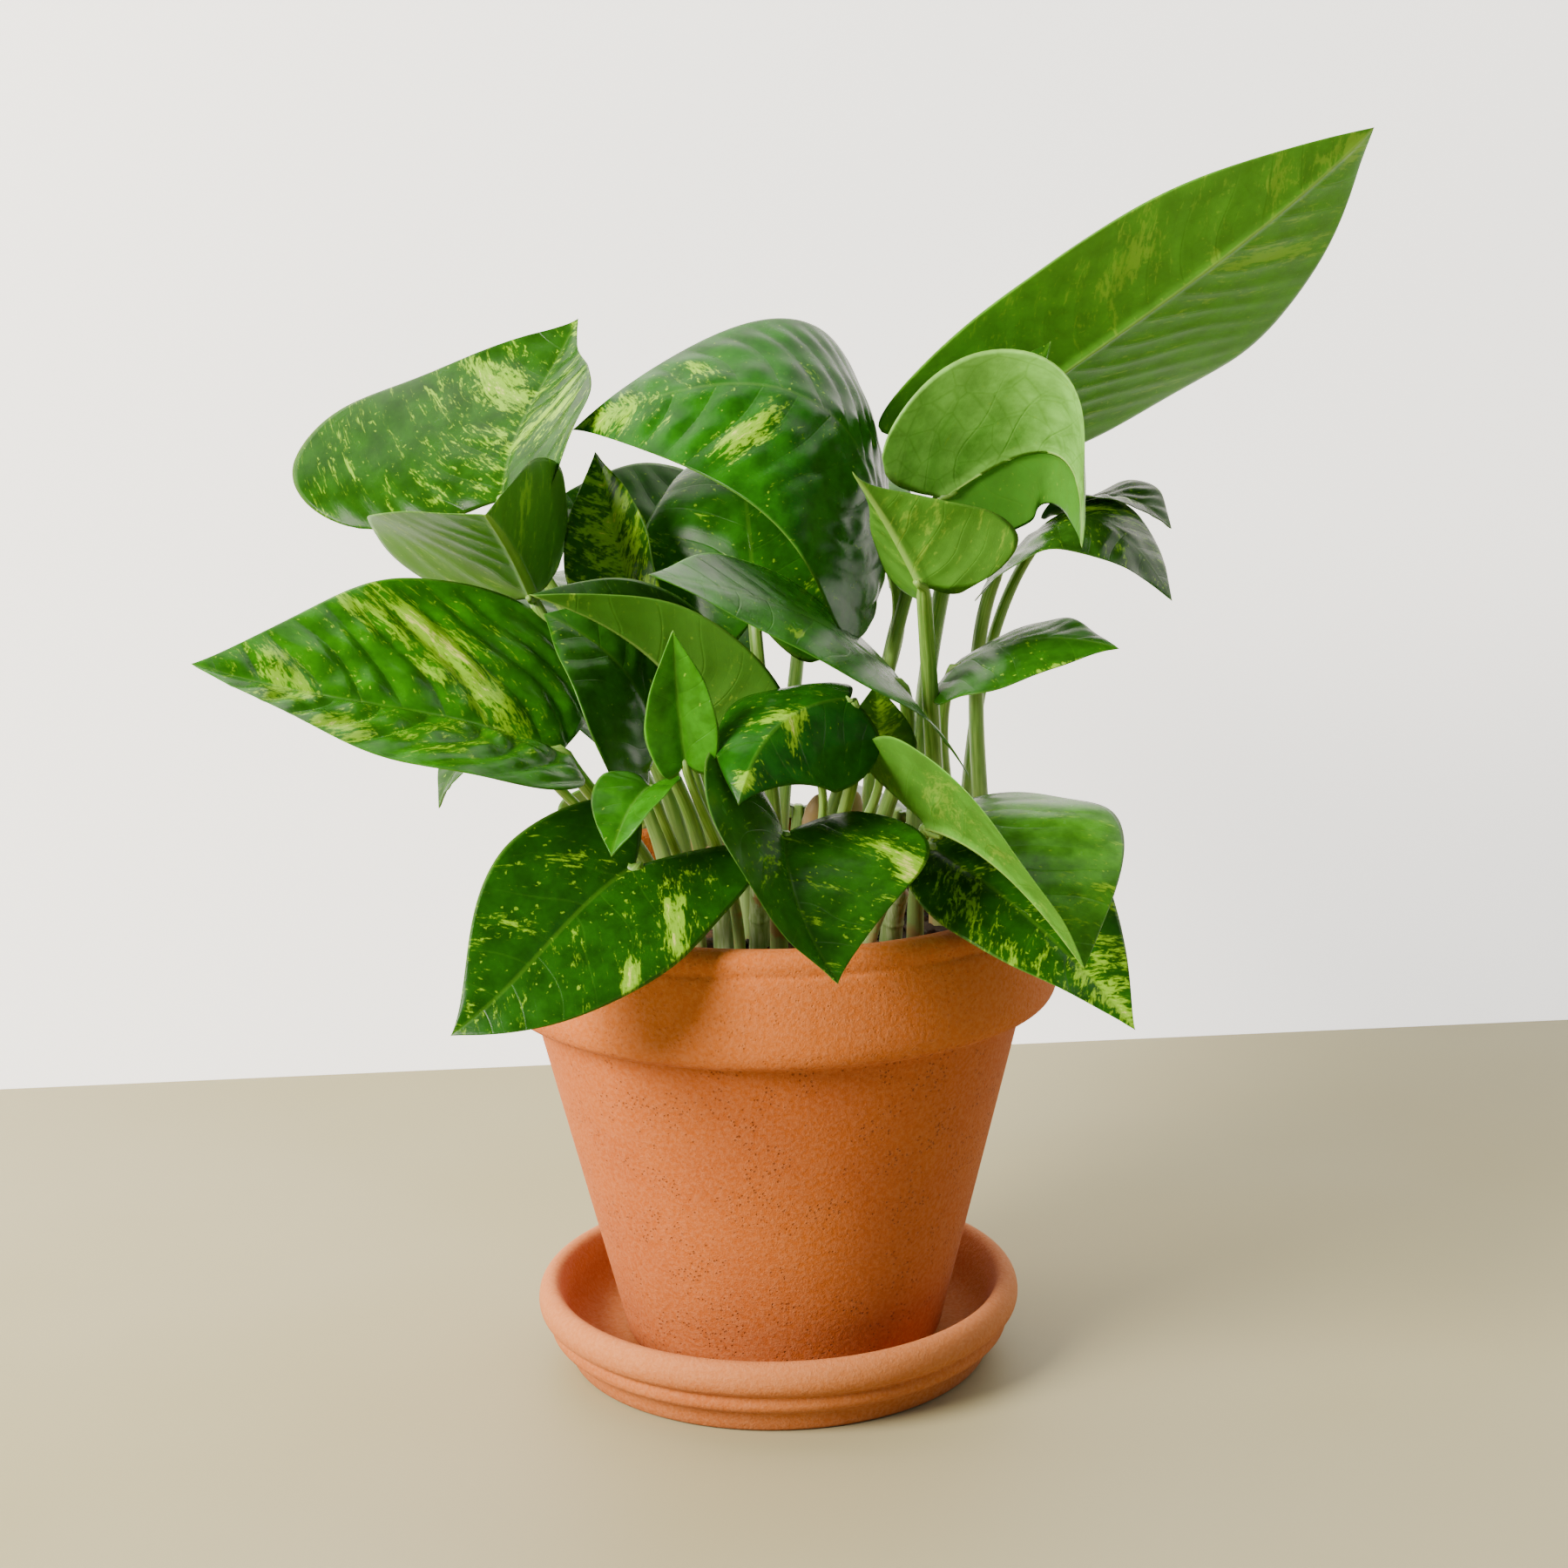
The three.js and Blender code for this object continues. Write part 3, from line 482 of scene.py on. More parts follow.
# Lengths in mm: base is where the stalk meets the blade, tip its point, foot where the stalk leaves the soil,
# stalk its radius and lead the handle that steers it into the base; face is where the upper side looks. arch
# and sway bend the midrib up and sideways near its base and tip. Other pairs are for the left and right half:
# fold is the angle at which it leaves the midrib and curl how much more it bends to its margin, in degrees;
# lobe is its reach back beside the stalk and heel its width at the base, as shares. wide is where the blade
# is widest, point how slim its tip, speck how speckled it is. A mark is a cream patch: how far along the
# midrib its side vein starts, how far out it lies (-1 to 1), its breadth, its outward reach, its strength.
leaves = {
    "leaf_top_left": dict(
        base=(-70, 12, 236), tip=(-51, 58, 281), face=(-0.25, -0.6, 0.75), width=(61, 34), arch=(4, -6),
        sway=(-3, -5), fold=(6, 24), curl=(0, 20), lobe=(0.1, 0.1), wide=0.24, point=1.1, foot=(-22, 18),
        stalk=2.3, lead=(8, 4, -24), green="35661a", speck=0.42,
        marks=((0.3, 0.5, 0.06, 0.45, 0.75), (0.5, -0.35, 0.1, 0.5, 0.6), (0.15, 0.6, 0.06, 0.4, 0.5)),
        relief=0.2, wave=0.9,
    ),
    "leaf_left_upturned": dict(
        base=(-61, -3, 212), tip=(-68, -50, 240), face=(0.05, 0.45, 0.9), width=(30, 44), fold=(75, 12),
        curl=(0, 10), foot=(-26, -2), lead=(8, 2, -20), green="4a7428", speck=0.4,
        marks=((0.4, -0.5, 0.12, 0.4, 0.5),), relief=0.1,
    ),
    "leaf_top_middle": dict(
        base=(33, 22, 217), tip=(-50, 5, 255), face=(0.4, -0.6, 0.7), width=(49, 47), arch=(41, 36),
        sway=(4, 4), fold=(0, -10), curl=(-10, -15), lobe=(0.05, 0.28), heel=(0.35, 0.7), foot=(12, 18),
        stalk=2.4, green="2d7018", speck=0.16,
        marks=((0.5, -0.45, 0.05, 0.35, 1.1), (0.92, 0, 0.14, 0.9, 0.95), (0.68, 0.3, 0.04, 0.3, 0.7)),
        relief=0.4,
    ),
    "leaf_middle_domed": dict(
        base=(-3, 0, 205), tip=(-11, 58, 242), face=(0, -0.75, 0.66), width=(31, 30), arch=(15, 21),
        sway=(2, 2), fold=(-5, -5), curl=(-30, -30), foot=(2, 6), green="32701c", speck=0.32,
        marks=((0.35, 0.45, 0.06, 0.2, 0.8),), relief=0.12,
    ),
    "leaf_middle_spread": dict(
        base=(35, -14, 189), tip=(-28, -60, 226), face=(0.1, -0.22, 0.97), width=(33, 30), arch=(8, 4),
        sway=(3, 3), fold=(-10, 4), curl=(0, 6), lobe=(0.24, 0.08), heel=(0.7, 0.5), foot=(24, -4),
        green="3f8a22", marks=((0.45, -0.55, 0.05, 0.2, 0.9),), relief=0.06,
    ),
    "leaf_middle_folded": dict(
        base=(-13, -22, 173), tip=(-58, -50, 220), face=(0.2, -0.3, 0.93), width=(25, 27), arch=(9, 8),
        fold=(62, 25), foot=(-6, -12), green="34661e", speck=0.15, marks=((0.5, 0.3, 0.05, 0.3, 0.5),),
        relief=0.08,
    ),
    "leaf_young_upright": dict(
        base=(-20, -67, 180), tip=(-22, -71, 214), face=(0.25, -0.95, 0.1), width=(10, 10), arch=(-2, -2),
        fold=(20, 35), lobe=(0.08, 0.08), foot=(-8, -36), stalk=1.4, green="4f9a26", speck=0.05, relief=0.15,
    ),
    "leaf_young_low": dict(
        base=(-29, -57, 173), tip=(-38, -78, 160), face=(-0.3, -0.7, 0.6), width=(11, 11), arch=(3, 3),
        fold=(20, 20), lobe=(0.1, 0.1), foot=(-18, -36), stalk=1.4, green="448a22", speck=0.05, relief=0.15,
    ),
    "leaf_front_left": dict(
        base=(-33, -62, 154), tip=(-77, -92, 120), face=(-0.15, -0.85, 0.5), width=(28, 24), arch=(3, 4),
        sway=(2, -4), fold=(4, 16), curl=(-5, -5), lobe=(0.42, 0.14), foot=(-28, -28), stalk=2.1,
        green="275c10", speck=0.32,
        marks=((-0.1, -0.75, 0.08, 0.28, 1), (0.17, -0.85, 0.045, 0.14, 1.1), (0.8, 0.1, 0.1, 0.5, 0.2)),
        relief=0.06,
    ),
    "leaf_front_middle": dict(
        base=(4, -60, 161), tip=(16, -98, 133), face=(0.1, -0.62, 0.78), width=(36, 33), arch=(5, 2),
        sway=(4, 4), fold=(0, 50), lobe=(0.28, 0.2), foot=(2, -34), green="336c18", speck=0.32,
        marks=((-0.12, -0.8, 0.1, 0.26, 1), (0.02, -0.92, 0.12, 0.13, 1), (0.3, 0.3, 0.1, 0.3, 0.3)),
        relief=0.06,
    ),
    "leaf_front_curled": dict(
        base=(21, -51, 193), tip=(-7, -82, 173), face=(-0.4, -0.8, 0.45), width=(23, 23), arch=(6, 8),
        sway=(4, 4), fold=(-45, -5), curl=(-20, -35), foot=(12, -28), stalk=1.8, green="2a6c1a",
        marks=((0.42, -0.1, 0.09, 0.35, 1.1), (0.85, 0, 0.09, 0.6, 1)), relief=0.06,
    ),
    "leaf_front_right_folded": dict(
        base=(40, -42, 158), tip=(75, -92, 134), face=(0, -0.55, 0.83), width=(40, 34), arch=(9, 9),
        fold=(-2, 72), curl=(-18, 0), lobe=(0.12, 0.12), wide=0.4, point=0.9, foot=(24, -40), stalk=2.1,
        green="66a63a", speck=0.34, marks=((0.15, 0.5, 0.15, 0.3, 0.5), (0.5, 0.4, 0.2, 0.3, 0.3)),
        relief=0.1,
    ),
    "leaf_front_right": dict(
        base=(41, -31, 150), tip=(89, -78, 114), face=(0, -0.55, 0.83), width=(27, 19), arch=(6, 6),
        fold=(5, 10), curl=(0, -8), lobe=(0.06, 0), heel=(0.4, 0.25), foot=(38, -18), stalk=2.1,
        green="2b6212", speck=0.5, marks=((0.85, 0, 0.15, 0.6, 0.5), (0.3, 0.6, 0.1, 0.4, 0.3)), relief=0.08,
    ),
    "leaf_right_low": dict(
        base=(50, -2, 192), tip=(91, -22, 199), face=(0, -0.15, 0.98), width=(22, 28), arch=(5, 5),
        fold=(-2, -12), lobe=(0.08, 0.1), heel=(0.5, 0.3), foot=(51, 4), stalk=2, green="3a7420",
        marks=((0.6, 0.95, 0.3, 0.12, 0.9),), relief=0.12,
    ),
    "leaf_right_small": dict(
        base=(86, 50, 226), tip=(112, 36, 222), face=(0, 0, 1), width=(19, 19), arch=(6, 6), foot=(54, 32),
        stalk=1.8, lead=(-24, -4, -14), green="3a5f2a", speck=0.35, marks=((0.5, 0.4, 0.3, 0.3, 0.4),),
    ),
    "leaf_right_drooping": dict(
        base=(64, 24, 215), tip=(108, 4, 207), face=(0.1, 0.1, 0.98), width=(26, 28), arch=(20, 14),
        fold=(10, -20), foot=(59, 20), stalk=2.3, green="3f6a2e", speck=0.35,
        marks=((0.5, -0.4, 0.3, 0.3, 0.4),),
    ),
    "leaf_tall_right": dict(
        base=(66, 50, 253), tip=(160, 12, 329), face=(-0.45, 0.72, 0.5), width=(52, 36), arch=(-4, -8),
        sway=(4, 4), lobe=(0.15, 0.2), heel=(0.4, 0.6), wide=0.43, point=0.85, foot=(40, 30), stalk=2.6,
        green="6aa632", speck=0.36,
        marks=((0.6, -0.4, 0.05, 0.5, 0.75), (0.93, 0, 0.06, 0.8, 0.9),
               (0.35, 0.5, 0.08, 0.4, 0.6), (0.75, 0.4, 0.05, 0.5, 0.5)),
        relief=0.1,
    ),
    "leaf_right_arched": dict(
        base=(47, 10, 235), tip=(82, -14, 224), face=(-0.25, 0.7, 0.65), width=(19, 35), arch=(24, 24),
        # the pale green is painted light shining through the right half; firstGreen is the left half's own
        # green
        fold=(-40, 15), foot=(26, 12), green="c4f4b0", firstGreen="2f7a1c", speck=0.12, relief=0.1,
    ),
    "leaf_right_funnel": dict(
        base=(40, -34, 218), tip=(22, -50, 249), face=(0.2, 0.9, 0.4), width=(27, 17), fold=(14, 45),
        heel=(0.3, 0.3), wide=0.16, point=2, foot=(45, -3), stalk=2.4, lead=(2, 20, -22), green="5c8f2e",
        speck=0.38, marks=((0.3, -0.4, 0.2, 0.5, 0.35),), relief=0.1,
    ),
    "leaf_big_left": dict(
        base=(-52, -38, 178), tip=(-139, -66, 207), face=(0, -0.42, 0.9), width=(40, 50), arch=(6, 0),
        sway=(-2, -4), fold=(17, 14), curl=(-4, -4), lobe=(0, 0.12), heel=(0.3, 0.58), wide=0.3, point=0.9,
        foot=(-28, -12), stalk=2.3, green="3f8416", speck=0.3,
        marks=((0.17, 0.5, 0.08, 0.6, 1.05), (0.34, 0.7, 0.06, 0.35, 0.65), (0.74, 0, 0.08, 0.9, 0.75),
               (0.5, -0.75, 0.08, 0.3, 0.7), (0.3, -0.4, 0.06, 0.3, 0.35)),
        relief=0.7, wave=0.8,
    ),
    "leaf_left_shaded": dict(
        base=(-29, -20, 176), tip=(-57, -24, 211), face=(0.3, -0.5, 0.8), width=(30, 30), arch=(8, 8),
        fold=(5, 5), foot=(-16, -6), stalk=2.1, green="367020", speck=0.1,
    ),
    "leaf_left_upright": dict(
        base=(-35, 4, 208), tip=(-45, 18, 248), face=(-0.3, -0.9, 0.3), width=(16, 16), arch=(0, 0),
        fold=(10, 40), foot=(-14, 8), stalk=1.9, green="376c1e", speck=0.55,
        marks=((0.4, 0.2, 0.4, 0.8, 0.5),), relief=0.1,
    ),
    "leaf_back_left": dict(
        base=(-40, 34, 166), tip=(-100, 52, 196), face=(0, -0.1, 1), width=(24, 32), arch=(8, 8),
        foot=(-24, 26), stalk=2.1, green="3b6f22",
    ),
    "leaf_left_hanging": dict(
        base=(-65, -6, 174), tip=(-87, -14, 158), face=(-0.5, -0.2, 0.8), width=(14, 14), arch=(6, 6),
        fold=(10, 10), foot=(-34, 0), stalk=1.6, green="3a6624",
    ),
    "leaf_behind_left": dict(
        base=(-17, 38, 213), tip=(-61, 34, 231), face=(0, -0.5, 0.85), width=(20, 28), arch=(8, 6),
        fold=(5, 5), foot=(-8, 14), stalk=2, green="3b6f22",
    ),
    "leaf_small_speckled": dict(
        base=(29, -18, 168), tip=(28, -22, 191), face=(0, -1, 0.2), width=(10, 10), fold=(10, 10),
        lobe=(0.08, 0.08), foot=(14, -10), stalk=1.5, green="5a8c38", speck=0.45,
        marks=((0.5, 0, 0.4, 0.6, 0.4),), relief=0.15,
    ),
    "leaf_small_pointed": dict(
        base=(12, -34, 172), tip=(7, -37, 191), face=(0, -1, 0.2), width=(8, 8), fold=(20, 20),
        lobe=(0.06, 0.06), foot=(8, -20), stalk=1.3, green="5c9434", speck=0.15, relief=0.15,
    ),
    "leaf_behind_right": dict(
        base=(52, 30, 243), tip=(77, 20, 275), face=(0.2, -0.5, 0.8), width=(13, 13), arch=(2, -4),
        fold=(10, 10), foot=(26, 30), stalk=1.9, green="3b6a22",
    ),
    "leaf_back_high_left": dict(
        base=(-30, 46, 190), tip=(-72, 112, 200), face=(-0.2, 0.3, 0.95), width=(37, 37), arch=(10, 8),
        foot=(-14, 30), green="3b7320", speck=0.3, marks=((0.5, 0.4, 0.25, 0.3, 0.6),),
    ),
    "leaf_back_high": dict(
        base=(10, 70, 208), tip=(8, 136, 224), face=(0, -0.2, 1), width=(34, 34), arch=(12, 8),
        lobe=(0.08, 0.08), foot=(2, 26), green="38701f", speck=0.3, marks=((0.4, -0.4, 0.25, 0.3, 0.7),),
    ),
    "leaf_back_right": dict(
        base=(36, 52, 140), tip=(72, 98, 108), face=(0.3, 0.3, 0.9), width=(32, 32), arch=(6, 5),
        foot=(32, 34), stalk=2.1, green="3a6f20", speck=0.3, marks=((0.5, 0.3, 0.25, 0.4, 0.5),),
    ),
    "leaf_back_rim_left": dict(
        base=(-26, 52, 143), tip=(-54, 102, 106), face=(-0.1, 0.6, 0.8), width=(28, 28), arch=(6, 5),
        fold=(6, 6), foot=(-20, 38), stalk=2.1, green="37691d", speck=0.35,
        marks=((0.3, -0.5, 0.2, 0.3, 0.6),),
    ),
    "leaf_back_rim_right": dict(
        base=(8, 60, 140), tip=(10, 116, 102), face=(0.1, 0.6, 0.8), width=(25, 25), arch=(8, 6), fold=(6, 6),
        foot=(6, 44), stalk=2, green="3e7424", speck=0.3, marks=((0.6, 0.4, 0.2, 0.3, 0.5),),
    ),
}
leafDefaults = dict(
    arch=(2, 2), sway=(0, 0), fold=(8, 8), curl=(0, 0), lobe=(0.15, 0.15), heel=(0.5, 0.5), wide=0.34,
    point=1, stalk=2.2, lead=None, firstGreen=None, speck=0.2, marks=(), relief=0.3, wave=0.6,
)


def unit(v):
    # each vector scaled to length 1
    return v / np.linalg.norm(v, axis=-1, keepdims=True)


def bezier(a, b, c, d, t):
    # the cubic curve from a to d with handles b and c
    t = t[:, None]
    return (1 - t) ** 3 * a + 3 * (1 - t) ** 2 * t * b + 3 * (1 - t) * t ** 2 * c + t ** 3 * d


def evenCurve(points, share):
    # places and directions at shares of the curve's length, and that length
    steps = np.linalg.norm(np.diff(points, axis=0), axis=1)
    run = np.concatenate([[0], np.cumsum(steps)])

    def at(want):
        return np.stack([np.interp(want, run, points[:, k]) for k in range(3)], -1)

    want = np.clip(share, 0, 1) * run[-1]
    small = run[-1] * 0.002
    return at(want), unit(at(want + small) - at(want - small)), run[-1]


def midribCurve(leaf):
    # a cubic from base to tip, its thirds lifted by arch and pushed sideways by sway
    base, tip, face = (np.array(leaf[key], float) for key in ("base", "tip", "face"))
    chord = tip - base
    along = unit(chord)
    up = unit(face - along * np.dot(face, along))
    side = np.cross(along, up)
    handles = [base + chord * (k + 1) / 3 + up * leaf["arch"][k] * 4 / 3 + side * leaf["sway"][k] * 4 / 3
               for k in (0, 1)]
    return bezier(base, *handles, tip, np.linspace(0, 1, 400)), up


def outline(s, wide, point, heel):
    # half width along the blade: from the heel up a quarter ellipse to the widest place, then down a power
    rest = np.clip((s - wide) / (1 - wide), 0, 1)
    shoulder = heel + (1 - heel) * np.sqrt(np.clip(1 - (1 - s / wide) ** 2, 0, 1))
    return np.where(s < wide, shoulder, (1 - rest ** 1.8) ** (1.2 * point))


def bladePoints(leaf, rows, columns, rng):
    # Both skins of a blade as grids, with rows along the midrib and columns across. Each half starts at its
    # fold angle and bends by its curl, so its section is an arc: out = (sin(a + bx) - sin a) / b and
    # rise = (cos a - cos(a + bx)) / b.
    curve, up = midribCurve(leaf)
    even = np.linspace(0, 1, rows)
    s = even - 0.16 * np.sin(fullTurn * even) / fullTurn  # closer rows at base and tip
    centre, along, length = evenCurve(curve, s)
    normal = unit(up - along * (along @ up)[:, None])
    side = np.cross(along, normal)
    s = s[:, None]
    t = np.linspace(-1, 1, columns)
    across = np.sign(t) * np.abs(t) ** 1.15  # closer columns at the midrib
    half = (across >= 0).astype(int)
    sign = 2 * half - 1
    reach = np.abs(across)

    def perHalf(key):
        return np.array(leaf[key], float)[half]

    shapes = [outline(s[:, 0], leaf["wide"], leaf["point"], heel) for heel in leaf["heel"]]
    x = reach * perHalf("width") * np.stack(shapes)[half].T
    start = np.radians(perHalf("fold"))
    curl = perHalf("curl")
    bend = np.radians(np.where(np.abs(curl) < 0.01, 0.01, curl)) / perHalf("width")
    angle = start + bend * x
    out = (np.sin(angle) - np.sin(start)) / bend
    rise = (np.cos(start) - np.cos(angle)) / bend
    back = perHalf("lobe") * length * (1 - s) ** 2.2 * np.sin(math.pi / 2 * reach)  # lobes by the stalk

    # side veins leave the midrib at a slant; count is the number of vein pitches, bent a little at random
    place = s * length - back
    lean = place - leafLook["veinLean"] * x - leafLook["veinCurve"] * x ** 2
    pitch = leafLook["veinPitch"] * min(1.0, length / 95 + 0.25)
    bends = rng.uniform(0, fullTurn, 3)
    count = (lean / pitch + 0.45 * half + 0.13 * np.sin(s * 11 + bends[0] + sign)
             + 0.1 * np.sin(x * 0.16 + bends[1] + 3 * s) + 0.08 * np.sin(s * 23 + bends[2] * sign))
    # quilting: the tissue swells between the side veins, and dies out at midrib, margin and tip
    fade = np.clip(x / 5, 0, 1) * (1 - reach ** 4) * np.clip((1 - s) * 6, 0, 1)
    swell = np.abs(np.sin(math.pi * count)) ** (0.7 if leaf["relief"] > 0.3 else 1.3)
    blister = 0.32 * np.sin(x * 0.55 + 2.5 * count + bends[0]) * np.sin(count * math.pi) ** 2
    relief = leaf["relief"] * 2.2 * (swell + blister - 0.6) * fade
    # slow ripple of the margin, and the groove over the midrib
    phases = rng.uniform(0, fullTurn, 2)
    ripple = np.sin(s * 9 + phases[0] + sign * 1.3) + 0.6 * np.sin(s * 17 + phases[1] * sign)
    wave = leaf["wave"] * ripple * reach ** 2.5 * np.clip(x / 12, 0, 1)
    groove = -0.4 * np.exp(-(x / 1.6) ** 2) * (1 - s) ** 0.5
    lift = relief + wave + groove

    localSide = side[:, None] * sign[:, None]
    localNormal = -localSide * np.sin(angle)[..., None] + normal[:, None] * np.cos(angle)[..., None]
    skin = (centre[:, None] - along[:, None] * back[..., None] + localSide * out[..., None]
            + normal[:, None] * rise[..., None] + localNormal * lift[..., None])
    full = np.sqrt(1 - reach ** 6) * np.clip(s * 40, 0, 1) * np.clip((1 - s) * 40, 0, 1)  # 0 at every edge
    thick = leafLook["thick"] * full
    # below, the midrib and the side veins stand out
    ribDown = 1.1 * np.exp(-(x / 1.1) ** 2) * (1 - s) ** 0.7
    ribDown = (ribDown + 0.25 * np.exp(-(swell / 0.22) ** 2) * fade * (1 - reach)) * full
    upper = skin + localNormal * thick[..., None] / 2
    lower = skin - localNormal * (thick / 2 + ribDown)[..., None]
    vein = np.stack([lean, x * sign, count], -1)
    flat = np.stack([place, x * sign, 0 * x], -1)
    mark = np.full(x.shape, leaf["speck"] - 0.28)
    for u, v, du, dv, strength in leaf["marks"]:
        mark = mark + strength * np.exp(-((lean / length - u) / du) ** 2 - ((across - v) / dv) ** 2)
    return upper, lower, vein, flat, mark


def sheetMesh(upper, lower):
    # two skins sewn along their margin: the base row and both sides share points, and the tip is one point
    rows, columns = upper.shape[:2]
    top = np.arange(rows * columns).reshape(rows, columns)
    top[-1, :] = top[-1, 0]
    inner = np.zeros((rows, columns), bool)
    inner[1:-1, 1:-1] = True
    low = top.copy()
    low[inner] = rows * columns + np.arange(inner.sum())
    faces = []
    for grid, order in ((top, 1), (low, -1)):
        quads = np.stack([grid[:-2, :-1], grid[:-2, 1:], grid[1:-1, 1:], grid[1:-1, :-1]], -1).reshape(-1, 4)
        tips = np.stack([grid[-2, :-1], grid[-2, 1:], grid[-1, 1:]], -1)
        faces += quads[:, ::order].tolist() + tips[:, ::order].tolist()
    return np.vstack([upper.reshape(-1, 3), lower[inner]]), faces, inner


def stalkCurve(leaf, curve, up):
    # a cubic from the soil to the blade, and on under the midrib's first tenth
    foot = np.array([*leaf["foot"], soilLook["top"] - soilLook["rootDepth"]])
    base, tip = np.array(leaf["base"], float), np.array(leaf["tip"], float)
    reach = np.linalg.norm(base - foot)
    lean = unit((tip - base) * (1, 1, 0)) * 0.5 + (0, 0, 1)
    high = base + leaf["lead"] if leaf["lead"] else base - unit(lean) * 0.3 * reach
    low = foot + (0, 0, 0.4 * reach)
    rise = bezier(foot, low, high, base, np.linspace(0, 1, 120))
    end = evenCurve(curve, np.array([0.03, 0.06, 0.1]))[0]
    return np.vstack([rise, end - up * leaf["stalk"] * np.array([[0.7], [1.1], [1.3]])])


def tubeMesh(path, radii, sides, channel):
    # circles carried along the path, dented by a bell curve on their upper side, with the ends closed
    share = np.linspace(0, 1, len(radii))
    place, way, length = evenCurve(path, share)
    level = unit((path[-1] - path[0]) * (1, 1, 0) + (1e-3, 1e-4, 0))  # never quite nought
    upWay = unit(np.cross(np.cross(level, (0, 0, 1.0)), way))
    across = np.cross(way, upWay)
    turns = np.linspace(0, fullTurn, sides, endpoint=False)
    dent = 1 - channel * np.exp(-((turns - math.pi / 2) / 0.5) ** 2)
    wide, high = (np.cos(turns) * dent)[:, None], (np.sin(turns) * dent)[:, None]
    points = place[:, None] + (across[:, None] * wide + upWay[:, None] * high) * radii[:, None, None]
    along = (share * length)[:, None] + 0 * turns
    flat = np.stack([along, 0 * along + turns * 2.2, 0 * along], -1)
    faces = [face[::-1] for face in gridFaces(len(radii), sides)]
    points = np.vstack([points.reshape(-1, 3), place[:1], place[-1:]])
    flat = np.vstack([flat.reshape(-1, 3), flat[0, :1], flat[-1, :1]])
    return points, faces, flat


def makeLeaf(name, given, index, materials):
    # the blade, and its stalk as a thinning tube, in one mesh
    leaf = {**leafDefaults, **given}
    size = np.linalg.norm(np.array(leaf["tip"], float) - np.array(leaf["base"], float))
    # about a row and a column each mm, within limits; an odd number of columns puts one on the midrib
    rows = int(np.clip(size * 1.3, 44, 130))
    columns = int(np.clip(sum(leaf["width"]) * 0.95, 35, 85)) // 2 * 2 + 1
    upper, lower, vein, flat, mark = bladePoints(leaf, rows, columns, np.random.default_rng(100 + index))
    points, faces, inner = sheetMesh(upper, lower)

    def gather(grid):
        # the grid's values for the upper skin, then for the lower skin's own points
        return np.concatenate([grid.reshape(rows * columns, -1), grid[inner].reshape(inner.sum(), -1)])

    under = np.concatenate([np.where(inner, 0.0, 0.5).ravel(), np.ones(inner.sum())])
    # one half may be darker than the other: the first half is the one left of the midrib. On
    # leaf_right_arched the right half's pale green is painted light glowing through it
    green = np.array(rgba(leaf["green"])) * leafLook["deepen"]
    firstGreen = np.array(rgba(leaf["firstGreen"] or leaf["green"])) * leafLook["deepen"]
    firstHalf = np.clip(0.5 - flat[..., 1] / 3, 0, 1)[..., None]  # they blend over 3 mm
    tint = firstHalf * firstGreen + (1 - firstHalf) * green

    path = stalkCurve(leaf, *midribCurve(leaf))
    run = np.linspace(0, 1, 60)
    radii = leaf["stalk"] * (1.12 - 0.3 * run) * np.clip((1 - run) * 12, 0.2, 1) ** 0.5
    stalkPoints, stalkFaces, stalkFlat = tubeMesh(path, radii, 12, 0.22)
    stalkFaces = [[p + len(points) for p in face] for face in stalkFaces]
    more = len(stalkPoints)
    attributes = {
        "vein": ("FLOAT_VECTOR", np.vstack([gather(vein), np.zeros((more, 3))])),
        "flat": ("FLOAT_VECTOR", np.vstack([gather(flat), stalkFlat])),
        "mark": ("FLOAT", np.append(gather(mark), np.zeros(more))),
        "under": ("FLOAT", np.append(under, np.zeros(more))),
        "tint": ("FLOAT_COLOR", np.vstack([gather(tint), np.tile(green, (more, 1))])),
        "seed": ("FLOAT", np.full(len(points) + more, index * 3.7)),  # each leaf's own part of the noise
    }
    which = np.repeat([0, 1], [len(faces), len(stalkFaces)])
    made = buildMesh(name + "_blade", np.vstack([points, stalkPoints]) * mm, faces + stalkFaces, materials,
                     attributes, which)
    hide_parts(name)
    return made


# vine stems: smooth whitish green, ringed at the nodes, with papery tan sheaths
stems = {
    "stem_front_left": {"foot": (-12, -23), "top": (-16, -29, 150), "radius": 3.3},
    "stem_front": {"foot": (-3, -25), "top": (-3, -31, 142), "radius": 2.9},
    "stem_centre": {"foot": (9, -2), "top": (13, -5, 158), "radius": 3.4},
    "stem_front_right": {"foot": (31, -28), "top": (34, -33, 140), "radius": 3.1},
    "stem_back_right": {"foot": (21, 21), "top": (24, 25, 152), "radius": 3.3},
    "stem_back_left": {"foot": (-37, 12), "top": (-44, 16, 144), "radius": 3},
}
stemLook = {"dark": "7f9a55", "light": "b3c493", "sheath": "a98a5c"}


def stemMaterial():
    material, add = newMaterial("vine stem and sheath")
    place = add("TexCoord", output="Object")
    height = add("SeparateXYZ", place, output="Z")
    # lengthwise lines, about 1 mm apart and 17 mm long
    lines = add("TexNoise", add("VectorMath", place, (900, 900, 60), operation="MULTIPLY"), 1, 3, 0.6)
    dry = add("Math", add("TexNoise", place, 120, 3, 0.6), add("MapRange", height, 0.122, 0.15, -0.12, 0.14))
    color = painted(
        add, rgba(stemLook["dark"]),
        (add("MapRange", lines, 0.35, 0.7), 1, stemLook["light"]),
        (add("MapRange", dry, 0.52, 0.6), 1, stemLook["sheath"]),
    )
    add("OutputMaterial", reliefBody(add, color, 0.5, lines, 0.4, 0.0004))
    return material


